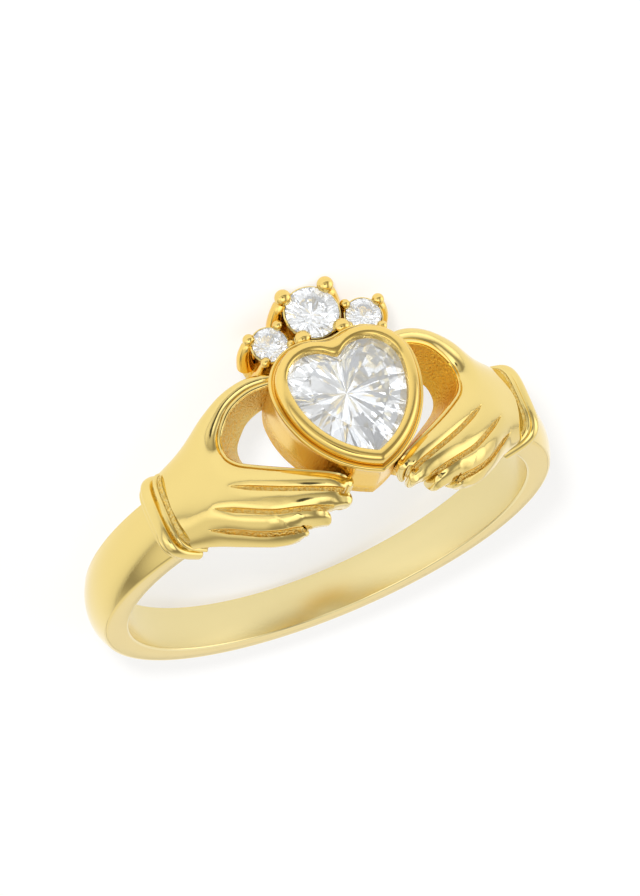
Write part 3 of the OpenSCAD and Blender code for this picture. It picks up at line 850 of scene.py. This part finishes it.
def hand(name, side, shape, material):
    """One hand: the flat layout, wrapped round the finger hole on its side of the heart"""
    flat, z, shades, faces = shape
    # Painted shade on the fork's wall, strong on the right hand and faint on the left, and on the grooves'
    # steep sides
    deep = WALL_PAINTED_SHADE[side] * shades["wall"] + GROOVE_SIDE_PAINTED_SHADE * shades["steep"]
    places = around(side * flat[:, 0] / FLAT, BORE_R + z, flat[:, 1])
    shown = {"grain": shades["grain"], "deep": deep}
    return piece(name, places, faces, material, shades=shown, crisp=SOFT_CRISP)


# Stones
# The heart stone's edge: its height, how far it is tucked under the rim, and its thickness
STONE_EDGE_Z = HEART_TOP - 0.55
STONE_TUCK = 0.1
STONE_EDGE = 0.12
# Middle of the heart stone's cut, below the middle of the lobes, as a share of its half width
STONE_MIDDLE = 0.2
# Steps of the outline that its edge is taken from, and places of its edge
STONE_STEPS = (6, 60, 60)
STONE_PLACES = 24
ROUND_PLACES = 16
# Shares of a stone's outline: its table, the ring of its kites, and the lower ends of its lower halves
HEART_CUT = (0.66, 0.85, 0.4)
ROUND_CUT = (0.56, 0.8, 0.24)
# Heights above and below the edge as shares of the half width
HEART_HEIGHTS = (0.15, 0.86)
ROUND_HEIGHTS = (0.25, 0.817)
# A round stone's edge: how far it lies below its place, and how thick it is, as shares of its radius
ROUND_EDGE = (0.05, 0.1)
# The kites reach this share of the height above the edge, and the lower halves end deeper than a
# straight side would by this factor.
KITE_HEIGHT = 0.52
HALVES_DROP = 1.04


def cut_stone(name, girdle, centre, edge, cut, heights, node_name, material):
    """A brilliant cut on a girdle of an even count of places: table, stars, kites, halves and mains"""
    n = len(girdle) // 2
    g = np.asarray(girdle) - centre
    corner, half = g[0::2], g[1::2]
    table, mid, low = cut
    above, below = heights
    bottom, top = edge
    layers = (
        (corner * table, top + above), (half * mid, top + KITE_HEIGHT * above), (g, top), (g, bottom),
        (half * low, bottom - below * (1 - low) * HALVES_DROP), (np.zeros((1, 2)), bottom - below))
    places = np.vstack([np.column_stack([flat + centre, np.full(len(flat), z)]) for flat, z in layers])
    kites, upper, lower, mains, point = n, 2 * n, 4 * n, 6 * n, 7 * n
    faces = [tuple(range(n))]
    for k in range(n):
        j = (k + 1) % n
        start, middle, end = 2 * k, 2 * k + 1, (2 * k + 2) % (2 * n)
        faces.append((k, kites + k, j))
        faces += [(j, kites + k, upper + end), (j, upper + end, kites + j)]
        faces += [(kites + k, upper + start, upper + middle), (kites + k, upper + middle, upper + end)]
        faces += [(upper + start, lower + start, lower + middle, upper + middle)]
        faces += [(upper + middle, lower + middle, lower + end, upper + end)]
        faces += [(lower + start, mains + k, lower + middle), (lower + middle, mains + k, lower + end)]
        faces += [(lower + end, mains + k, point), (lower + end, point, mains + j)]
    return piece(name, places, faces, material, (node_name,), crisp=0)


def heart_stone(material):
    """The heart-cut stone, tucked under the rim of the bezel"""
    outline = heart(STONE_TUCK, CLEFT_R, STONE_STEPS)
    girdle = evenly(np.vstack([outline, outline[:1]]), STONE_PLACES, closed=True)
    centre = np.array([0, HEART_Y - STONE_MIDDLE * HALF_W])
    heights = [share * HALF_W for share in HEART_HEIGHTS]
    edge = (STONE_EDGE_Z, STONE_EDGE_Z + STONE_EDGE)
    return cut_stone("heart_stone_cut", girdle, centre, edge, HEART_CUT, heights, "heart_stone", material)


def round_stone(name, r, place, node_name, material):
    """A round brilliant of the crown"""
    turns = np.linspace(0, 2 * math.pi, ROUND_PLACES, endpoint=False)
    centre = np.array(place[:2])
    girdle = centre + np.column_stack([r * np.cos(turns), r * np.sin(turns)])
    heights = [share * r for share in ROUND_HEIGHTS]
    bottom = place[2] - ROUND_EDGE[0] * r
    edge = (bottom, bottom + ROUND_EDGE[1] * r)
    return cut_stone(name, girdle, centre, edge, ROUND_CUT, heights, node_name, material)


# Crown
# Prongs of the right half: [stone, its radius, angle, radius of the prong's end, how far its foot leans
# out as shares of the stone, width of its foot as a share of its end, how far it bows out]
TOP_PRONG_R = 0.34
PRONG_R = 0.25
SIDE_AT = (SIDE_X, SIDE_Y, SIDE_Z)
PRONGS = [
    (MIDDLE_AT, MIDDLE_R, 45, TOP_PRONG_R, (0.2, -0.55), 1.35, (0.12, -0.03)),
    (MIDDLE_AT, MIDDLE_R, -50, 1.45 * PRONG_R, (0.1, 0.18), 1, (0, 0)),
    (SIDE_AT, SIDE_STONE_R, 28, PRONG_R, (0.1, -0.6), 1.5, (0.16, 0)),
    (SIDE_AT, SIDE_STONE_R, 132, 0.85 * PRONG_R, (-0.14, -0.42), 1, (0, 0)),
    (SIDE_AT, SIDE_STONE_R, 200, 0.75 * PRONG_R, (0, 0), 1, (0, 0)),
    (SIDE_AT, SIDE_STONE_R, 305, 0.85 * PRONG_R, (0.14, 0.14), 1, (0, 0))]
# The middle of a prong's end stands this share of its radius outside the stone, and this far above it.
PRONG_OUT = 0.6
PRONG_OVER = 0.12
# A prong's bar ends at this share of its way, in so many places, as wide as this share of its end.
PRONG_BAR = 0.78
PRONG_STEPS = 9
PRONG_NECK = 0.8
# Its bow would end at this share of its way.
PRONG_BOW = 0.9
# Its end is a ball from this latitude to that one, in so many places.
BALL_TURNS = (-50, 88)
BALL_STEPS = 14
PRONG_SIDES = 28
# How strong the painted shade on a prong is at its foot and at its end
PRONG_PAINTED_SHADE = (0.85, 0.25)


def prong_path(stone, r, angle, end_r, lean, foot_share, bow):
    """Path of a prong from its foot to its round end, with its radius and painted shade along the way"""
    out = r + PRONG_OUT * end_r
    a = math.radians(angle)
    end = np.array([stone[0] + out * math.cos(a), stone[1] + out * math.sin(a), stone[2] + PRONG_OVER])
    foot = np.array([end[0] + lean[0] * r, end[1] + lean[1] * r, BASE_R - FOOT_SUNK])
    way = (end - foot) / np.linalg.norm(end - foot)
    places, radii, painted_shades = [], [], []
    for t in np.linspace(0, PRONG_BAR, PRONG_STEPS):
        bowed = r * math.sin(math.pi * t / PRONG_BOW) * np.array([*bow, 0])
        places.append(foot + (end - foot) * t + bowed)
        radii.append(end_r * (foot_share + (PRONG_NECK - foot_share) * t))
        painted_shades.append(PRONG_PAINTED_SHADE[0] + (PRONG_PAINTED_SHADE[1] - PRONG_PAINTED_SHADE[0]) * t)
    for turn in np.radians(np.linspace(*BALL_TURNS, BALL_STEPS)):
        places.append(end + way * end_r * math.sin(turn))
        radii.append(end_r * math.cos(turn))
        painted_shades.append(PRONG_PAINTED_SHADE[1])
    return places, radii, painted_shades


def prong_tree():
    """Node tree that gives each path its thickness as a round bar"""
    tree, found = new_tree("prongs along their paths", [
        ("Sides", "NodeSocketInt"), ("Gold", "NodeSocketMaterial")])
    given = tree.nodes.new("NodeGroupInput").outputs
    line = node(tree, "GeometryNodeMeshToCurve", Mesh=given["Geometry"])
    size = node(tree, "GeometryNodeInputNamedAttribute", {"data_type": "FLOAT"}, Name="thickness")
    section = node(tree, "GeometryNodeCurvePrimitiveCircle", Resolution=given["Sides"], Radius=1.0)
    swept = node(tree, "GeometryNodeCurveToMesh", Curve=line.outputs["Curve"],
                 Scale=size.outputs["Attribute"],
                 **{"Profile Curve": section.outputs["Curve"], "Fill Caps": True})
    end_tree(tree, swept.outputs["Mesh"], given["Gold"])
    return tree, found


def crown_prongs(material):
    """All the prongs: round bars along their paths, each with a bead for its end"""
    places, radii, deep, edges = [], [], [], []
    for side in (1, -1):
        for prong in PRONGS:
            path, sizes, painted_shades = prong_path(*prong)
            edges += [(len(places) + i, len(places) + i + 1) for i in range(len(path) - 1)]
            places += [(side * x, y, z) for x, y, z in path]
            radii += sizes
            deep += painted_shades
    base = bpy.data.meshes.new("prong_paths")
    base.from_pydata(places, edges, [])
    add_values(base, "thickness", radii)
    # Painted shade on the prongs, deeper at their feet
    add_values(base, "deep", deep)
    tree, found = prong_tree()
    mesh = grown("crown_prongs", base, tree, found, {"Sides": PRONG_SIDES, "Gold": material})
    return finished("crown_prongs", mesh, material, ("ring_body",), SOFT_CRISP)


# Steps round a cup
CUP_STEPS = 64
# Outside of a cup from its foot: [share of the stone's radius, share of the cup's height, grain, which is
# also its painted shade]
CUP_WALL = [(0.68, 0, 0.6), (0.72, 0.3, 0.6), (0.8, 0.55, 0.6), (0.93, 0.78, 0.3)]
# Its rim: [distance out from the edge of the rim, distance down from the top]
CUP_LIP = [(-0.02, 0.12), (0, 0.05), (-0.02, 0.01), (-0.06, 0)]
# Its seat: [distance out from the stone's edge, distance down from the top, grain, which is also its
# painted shade]
CUP_SEAT = [(0.015, 0.03, 0), (-0.04, 0.13, 0.5)]
# Its throat below the stone: [share of the stone's radius, share of it down from the top]
CUP_THROAT = [(0.62, 0.62), (0.35, 0.9)]
CUP_BORE = 0.3
# Grain inside the cup, which is also its painted shade
CUP_INSIDE_GRAIN_AND_SHADE = 0.5


def lathe(profile, centre, steps):
    """Rings of a turned piece round a stone's axis from [radius, height] pairs"""
    turns = np.linspace(0, 2 * math.pi, steps, endpoint=False)
    return np.array([[(centre[0] + r * math.cos(a), centre[1] + r * math.sin(a), z) for a in turns]
                     for r, z in profile])


def cup(name, r, stone, material):
    """A cup of the crown, turned round its stone's axis: wall, rim, seat and throat"""
    top = stone[2]
    base = BASE_R - FOOT_SUNK
    rim = r + CUP_RIM
    rows = [(share * r, base + high * (top - base), grain) for share, high, grain in CUP_WALL]
    rows += [(rim + out, top - down, 0) for out, down in CUP_LIP]
    rows += [(r + out, top - down, grain) for out, down, grain in CUP_SEAT]
    rows += [(share * r, top - down * r, CUP_INSIDE_GRAIN_AND_SHADE) for share, down in CUP_THROAT]
    rows += [(CUP_BORE * r, base, CUP_INSIDE_GRAIN_AND_SHADE)]
    rings = lathe([row[:2] for row in rows], stone, CUP_STEPS)
    faces = strips(len(rings), CUP_STEPS, around_rows=True, around_columns=True)
    grain = np.repeat([row[2] for row in rows], CUP_STEPS)
    # The grain of the cup is also its painted shade
    return piece(name, rings.reshape(-1, 3), faces, material, shades={"grain": grain, "deep": grain})


# Outline of the plate's right half, from the heart to the crown's middle
PLATE_HALF = [
    (SIDE_X, HEART_Y + LOBE_R + 0.115), (SIDE_X + 0.75, SIDE_Y - 0.3), (SIDE_X + 0.72, SIDE_Y + 0.35),
    (SIDE_X, SIDE_Y + 1), (1.23, MIDDLE_AT[1] + 0.42), (0.45, MIDDLE_AT[1] + 0.32)]
PLATE_STEP = 0.12
# Rings of the plate: [share of its outline, distance from the middle of the finger hole, painted shade]
PLATE_RINGS = [
    (0.05, BASE_R, 0.9), (0.5, BASE_R, 0.9), (0.9, BASE_R, 0.9), (0.97, BASE_R - 0.03, 0.9),
    (1, BASE_R - 0.12, 0.9), (1, INNER_R + 0.05, 0.1), (0.98, INNER_R, 0.1), (0.5, INNER_R, 0.1),
    (0.05, INNER_R, 0.1)]


def crown_plate(material):
    """Plate under the crown: follows the finger hole and ties the crown to the bezel"""
    first, *rest = PLATE_HALF
    corners = [(-first[0], first[1]), first] + rest + [(-x, y) for x, y in reversed(rest)]
    loop = curve(corners, PLATE_STEP, closed=True)[:-1]
    middle = loop.mean(0)
    rings = []
    deep = []
    for share, r, depth in PLATE_RINGS:
        flat = middle + (loop - middle) * share
        rings.append(np.column_stack([flat, np.sqrt(r ** 2 - flat[:, 0] ** 2)]))
        deep += [depth] * len(flat)
    places, faces = tube(rings)
    # Painted shade: deep on the plate under the crown, slight along the finger hole
    shades = {"grain": np.ones(len(places)), "deep": deep}
    return piece("crown_plate", places, faces, material, shades=shades)


# Materials
# Gold: painted paler as painted brightness inside the band and behind the heart stone, its own colour over
# all, and a deeper colour for painted shade in the hollows and for the specks of the grain
GOLD_PAINTED_PALE = (0.93, 0.82, 0.47, 1)
GOLD = (0.85, 0.67, 0.25, 1)
GOLD_PAINTED_SHADE_AND_SPECKS = (0.93, 0.56, 0.07, 1)
# Roughness of polished and of unpolished gold, and how much more it is in patches of the coarse grain
GOLD_ROUGH = (0.07, 0.33)
GOLD_UNEVEN = 0.04
# Up to this value of a piece's grain the gold is only duller, and above it the cast grain comes up.
POLISHED_TO = 0.5
# Grain of cast metal: how fine it is and how coarse its patches are beside it, its height in metres,
# and the strength of its bump on polished and on unpolished gold
GRAIN_FINE = 10000
GRAIN_PATCHES = 0.12
GRAIN_HEIGHT = 0.00012
GRAIN_BUMP = (0.01, 1.0)
# Specks come up between these heights of the fine grain, and their colour is this much deeper.
SPECK_HEIGHTS = (0.45, 0.65)
SPECK_DEEP = 0.7
# Stones. A little light of their own stands for the sparkle that a few samples miss.
STONE_COLOUR = (0.91, 0.95, 1, 1)
STONE_CLEAR = 0.92
STONE_IOR = 2.3
STONE_SPARKLE = 0.045
WHITE = (1, 1, 1, 1)


def shader_group(name, inputs, outputs):
    """Shader node group with named inputs and outputs"""
    tree = bpy.data.node_groups.new(name, "ShaderNodeTree")
    for label, kind, value in inputs:
        tree.interface.new_socket(label, in_out="INPUT", socket_type=kind).default_value = value
    for label, kind in outputs:
        tree.interface.new_socket(label, in_out="OUTPUT", socket_type=kind)
    return tree, tree.nodes.new("NodeGroupInput").outputs, tree.nodes.new("NodeGroupOutput").inputs


def cast_grain():
    """Uneven skin of cast metal: a fine grain and a coarse one, each as a height from 0 to 1"""
    tree, given, end = shader_group(
        "cast grain", [("Vector", "NodeSocketVector", (0, 0, 0)), ("Scale", "NodeSocketFloat", GRAIN_FINE)],
        [("Height", "NodeSocketFloat"), ("Patches", "NodeSocketFloat")])
    fine = node(tree, "ShaderNodeTexNoise", Vector=given["Vector"], Scale=given["Scale"], Detail=3)
    slow = node(tree, "ShaderNodeMath", {"operation": "MULTIPLY"}, i0=given["Scale"], i1=GRAIN_PATCHES)
    coarse = node(tree, "ShaderNodeTexNoise", Vector=given["Vector"], Scale=slow.outputs[0], Detail=2)
    tree.links.new(fine.outputs[0], end["Height"])
    tree.links.new(coarse.outputs[0], end["Patches"])
    return tree


def gold_finish(name, grain_group):
    """Polished gold that turns to unpolished casting where the piece's grain attribute says so, with
    painted shade as deeper colour where its deep attribute is above 0, and painted brightness as paler
    colour where it is below"""
    material = bpy.data.materials.new(name)
    material.use_nodes = True
    tree = material.node_tree
    tree.nodes.clear()
    place = node(tree, "ShaderNodeTexCoord").outputs["Object"]
    grain = node(tree, "ShaderNodeGroup", {"node_tree": grain_group}, Vector=place).outputs
    mask = node(tree, "ShaderNodeAttribute", {"attribute_name": "grain"}).outputs["Fac"]
    # The deep attribute is painted shade above 0 and painted brightness, a paler colour, below 0
    hollow = node(tree, "ShaderNodeAttribute", {"attribute_name": "deep"}).outputs["Fac"]
    unpolished = node(tree, "ShaderNodeMapRange", i0=mask, i1=POLISHED_TO).outputs[0]
    high = node(tree, "ShaderNodeMapRange", i0=grain["Height"], i1=SPECK_HEIGHTS[0], i2=SPECK_HEIGHTS[1],
                i4=SPECK_DEEP)
    specks = node(tree, "ShaderNodeMath", {"operation": "MULTIPLY"}, i0=high.outputs[0], i1=unpolished)
    # Painted shade and the grain's specks deepen the colour together; painted brightness below 0 makes it
    # paler
    depth = node(tree, "ShaderNodeMath", i0=hollow, i1=specks.outputs[0]).outputs[0]
    to_plain = node(tree, "ShaderNodeMapRange", i0=depth, i1=-1, i2=0).outputs[0]
    to_deep = node(tree, "ShaderNodeMapRange", i0=depth).outputs[0]
    plain = node(tree, "ShaderNodeMix", {"data_type": "RGBA"}, i0=to_plain, i6=GOLD_PAINTED_PALE, i7=GOLD)
    colour = node(tree, "ShaderNodeMix", {"data_type": "RGBA"}, i0=to_deep, i6=plain.outputs[2],
                  i7=GOLD_PAINTED_SHADE_AND_SPECKS)
    rough = node(tree, "ShaderNodeMapRange", i0=mask, i3=GOLD_ROUGH[0], i4=GOLD_ROUGH[1])
    uneven = node(tree, "ShaderNodeMath", {"operation": "MULTIPLY_ADD"}, i0=grain["Patches"],
                  i1=GOLD_UNEVEN, i2=rough.outputs[0])
    strength = node(tree, "ShaderNodeMapRange", i0=unpolished, i3=GRAIN_BUMP[0], i4=GRAIN_BUMP[1])
    height = node(tree, "ShaderNodeMath", {"operation": "MULTIPLY"}, i0=grain["Height"],
                  i1=strength.outputs[0])
    bump = node(tree, "ShaderNodeBump", Distance=GRAIN_HEIGHT, Height=height.outputs[0])
    gold = node(tree, "ShaderNodeBsdfPrincipled", Metallic=1.0, Roughness=uneven.outputs[0],
                Normal=bump.outputs[0], **{"Base Color": colour.outputs[2]})
    end = node(tree, "ShaderNodeOutputMaterial")
    tree.links.new(gold.outputs[0], end.inputs[0])
    return material


def clear_stone():
    """Clear cut stone of high refraction"""
    material = bpy.data.materials.new("clear cut stone")
    material.use_nodes = True
    stone = material.node_tree.nodes["Principled BSDF"].inputs
    stone["Base Color"].default_value = STONE_COLOUR
    stone["Transmission Weight"].default_value = STONE_CLEAR
    stone["Roughness"].default_value = 0
    stone["IOR"].default_value = STONE_IOR
    stone["Emission Color"].default_value = WHITE
    stone["Emission Strength"].default_value = STONE_SPARKLE
    return material


# Floor, light and camera
# Half the floor's width in metres
FLOOR_HALF = 0.6
FLOOR_ROUGH = 0.9
# Round the ring the floor has a little light of its own, which dies away further out: how bright it is,
# where its middle lies, its edges, and the shares of the light that the floor gives back inside and outside
FLOOR_GLOW = 0.55
FLOOR_MIDDLE = (-0.015, 0)
FLOOR_EDGES = (0.045, 0.15)
FLOOR_SHARES = (0.42, 0.7)
# Soft spot on the floor round the ring, which the polished gold doesn't mirror:
# [place in the upright ring, width of its beam in degrees, share of it that is soft, size, power],
# the place that it looks at, and the direction that is up for it
FLOOR_SPOT = ((-94, -52, 280), 14, 0.7, 36, 3.5)
SPOT_AIM = (0, 0, 5)
SPOT_UP = (0, 1, 0.1)
# The studio's tent: its plain brightness and warm colour, and its brighter, whiter cloths as
# [direction in the upright ring, inner edge and outer edge in degrees, added brightness]
TENT = 0.36
TENT_COLOUR = (1, 0.95, 0.86, 1)
CLOTHS = [
    ((0.27, -0.31, -0.91), 35, 75, 0.6), ((-0.3, -0.66, 0.68), 12, 34, 1.0),
    ((0.85, -0.45, 0.3), 15, 42, 0.8), ((-0.8, 0.0, 0.5), 8, 35, 0.6),
    ((-0.88, -0.45, 0.15), 10, 40, 0.55), ((-0.275, -0.308, 0.911), 12, 40, 0.35),
    ((0.95, 0, 0.3), 12, 45, 0.45)]
# The dark opening that the tent is photographed through: its edges in degrees and its brightness
OPENING = (5, 13)
OPENING_SHARE = 0.06
# The camera's place, the place that it looks at and its up, in the upright ring
CAMERA_AT = (-82.5, -92.4, 273.3)
CAMERA_AIM = (1.02, 2.71, 1.22)
CAMERA_UP = (0.298, 0.873, 0.385)
LENS = 298.3
SENSOR = 36
# Nearest and furthest that the camera sees, in metres
CLIP = (0.01, 10)


def floor():
    """Pale floor, which is stage and no part of the ring, with a painted glow round the ring that dies away
    further out
    """
    mesh = bpy.data.meshes.new("floor")
    h = FLOOR_HALF
    mesh.from_pydata([(-h, -h, 0), (h, -h, 0), (h, h, 0), (-h, h, 0)], [], [(0, 1, 2, 3)])
    material = bpy.data.materials.new("pale floor")
    material.use_nodes = True
    tree = material.node_tree
    place = node(tree, "ShaderNodeTexCoord").outputs["Object"]
    away = node(tree, "ShaderNodeVectorMath", {"operation": "DISTANCE"}, i0=place,
                i1=(*FLOOR_MIDDLE, 0)).outputs["Value"]
    paper = tree.nodes["Principled BSDF"]
    for socket, (near, far) in (("Base Color", FLOOR_SHARES), ("Emission Strength", (FLOOR_GLOW, 0))):
        value = node(tree, "ShaderNodeMapRange", {"interpolation_type": "SMOOTHSTEP"}, i0=away,
                     i1=FLOOR_EDGES[0], i2=FLOOR_EDGES[1], i3=near, i4=far)
        tree.links.new(value.outputs[0], paper.inputs[socket])
    paper.inputs["Roughness"].default_value = FLOOR_ROUGH
    paper.inputs["Emission Color"].default_value = WHITE
    mesh.materials.append(material)
    obj = bpy.data.objects.new("floor", mesh)
    bpy.context.scene.collection.objects.link(obj)


def facing(at, aim, up):
    """Placing of a camera or lamp that stands at a place of the upright ring and looks at another"""
    at, aim, up = Vector(at), Vector(aim), Vector(up)
    back = (at - aim).normalized()
    right = up.cross(back).normalized()
    up = back.cross(right)
    turned = Matrix((right, up, back)).transposed().to_4x4()
    return Matrix.Translation(LAID @ (at * MM)) @ LAID.to_3x3().to_4x4() @ turned


def tent_patch(tree, way, direction, inner, outer, middle, around_it):
    """Value of a round, soft-edged patch of the tent in a direction, and round it"""
    towards = node(tree, "ShaderNodeVectorMath", {"operation": "DOT_PRODUCT"}, i0=way,
                   i1=LAID.to_3x3() @ Vector(direction).normalized())
    edges = [math.cos(math.radians(edge)) for edge in (outer, inner)]
    return node(tree, "ShaderNodeMapRange", {"interpolation_type": "SMOOTHSTEP"},
                i0=towards.outputs["Value"], i1=edges[0], i2=edges[1], i3=around_it,
                i4=middle).outputs[0]


def tent():
    """White tent round the ring, with brighter cloths and the dark opening for the camera"""
    world = bpy.data.worlds.new("studio tent")
    world.use_nodes = True
    tree = world.node_tree
    way = node(tree, "ShaderNodeTexCoord").outputs["Generated"]
    cloth = 0.0
    for direction, inner, outer, added in CLOTHS:
        patch = tent_patch(tree, way, direction, inner, outer, added, 0)
        cloth = node(tree, "ShaderNodeMath", i0=cloth, i1=patch).outputs[0]
    colour = node(tree, "ShaderNodeMix", {"data_type": "RGBA"}, i0=cloth, i6=TENT_COLOUR, i7=WHITE)
    level = node(tree, "ShaderNodeMath", i0=cloth, i1=TENT).outputs[0]
    dark = tent_patch(tree, way, CAMERA_AT, *OPENING, OPENING_SHARE, 1)
    level = node(tree, "ShaderNodeMath", {"operation": "MULTIPLY"}, i0=level, i1=dark)
    sky = tree.nodes["Background"]
    tree.links.new(colour.outputs[2], sky.inputs["Color"])
    tree.links.new(level.outputs[0], sky.inputs["Strength"])
    return world


def floor_spot():
    """Lamp that lights the floor round the ring and isn't mirrored in the gold"""
    at, beam, soft, size, power = FLOOR_SPOT
    light = bpy.data.lights.new("floor spot", "SPOT")
    light.spot_size = math.radians(beam)
    light.spot_blend = soft
    light.shadow_soft_size = size * MM / 2
    light.energy = power
    lamp = bpy.data.objects.new("floor spot", light)
    lamp.matrix_world = facing(at, SPOT_AIM, SPOT_UP)
    lamp.visible_glossy = False
    bpy.context.scene.collection.objects.link(lamp)


def studio():
    """Tent, lamp and camera"""
    scene = bpy.context.scene
    scene.world = tent()
    scene.view_settings.view_transform = "Standard"
    floor_spot()
    view = bpy.data.cameras.new("camera")
    view.lens = LENS
    view.sensor_width = SENSOR
    view.clip_start, view.clip_end = CLIP
    camera = bpy.data.objects.new("camera", view)
    camera.matrix_world = facing(CAMERA_AT, CAMERA_AIM, CAMERA_UP)
    scene.collection.objects.link(camera)
    scene.camera = camera


gold = gold_finish("polished gold", cast_grain())
stone = clear_stone()
ring_band(gold)
hand_shape = Hand().mesh()
for name, side in (("left", -1), ("right", 1)):
    place = (side * SIDE_X, SIDE_Y, SIDE_Z)
    cuff("cuff_" + name, side, gold)
    hand("hand_" + name, side, hand_shape, gold)
    cup("crown_cup_" + name, SIDE_STONE_R, place, gold)
    round_stone("crown_stone_cut_" + name, SIDE_STONE_R, place, "crown_stone_" + name, stone)
bezel(gold)
cup("crown_cup_middle", MIDDLE_R, MIDDLE_AT, gold)
round_stone("crown_stone_cut_middle", MIDDLE_R, MIDDLE_AT, "crown_stone_middle", stone)
heart_stone(stone)
crown_plate(gold)
crown_prongs(gold)
floor()
studio()
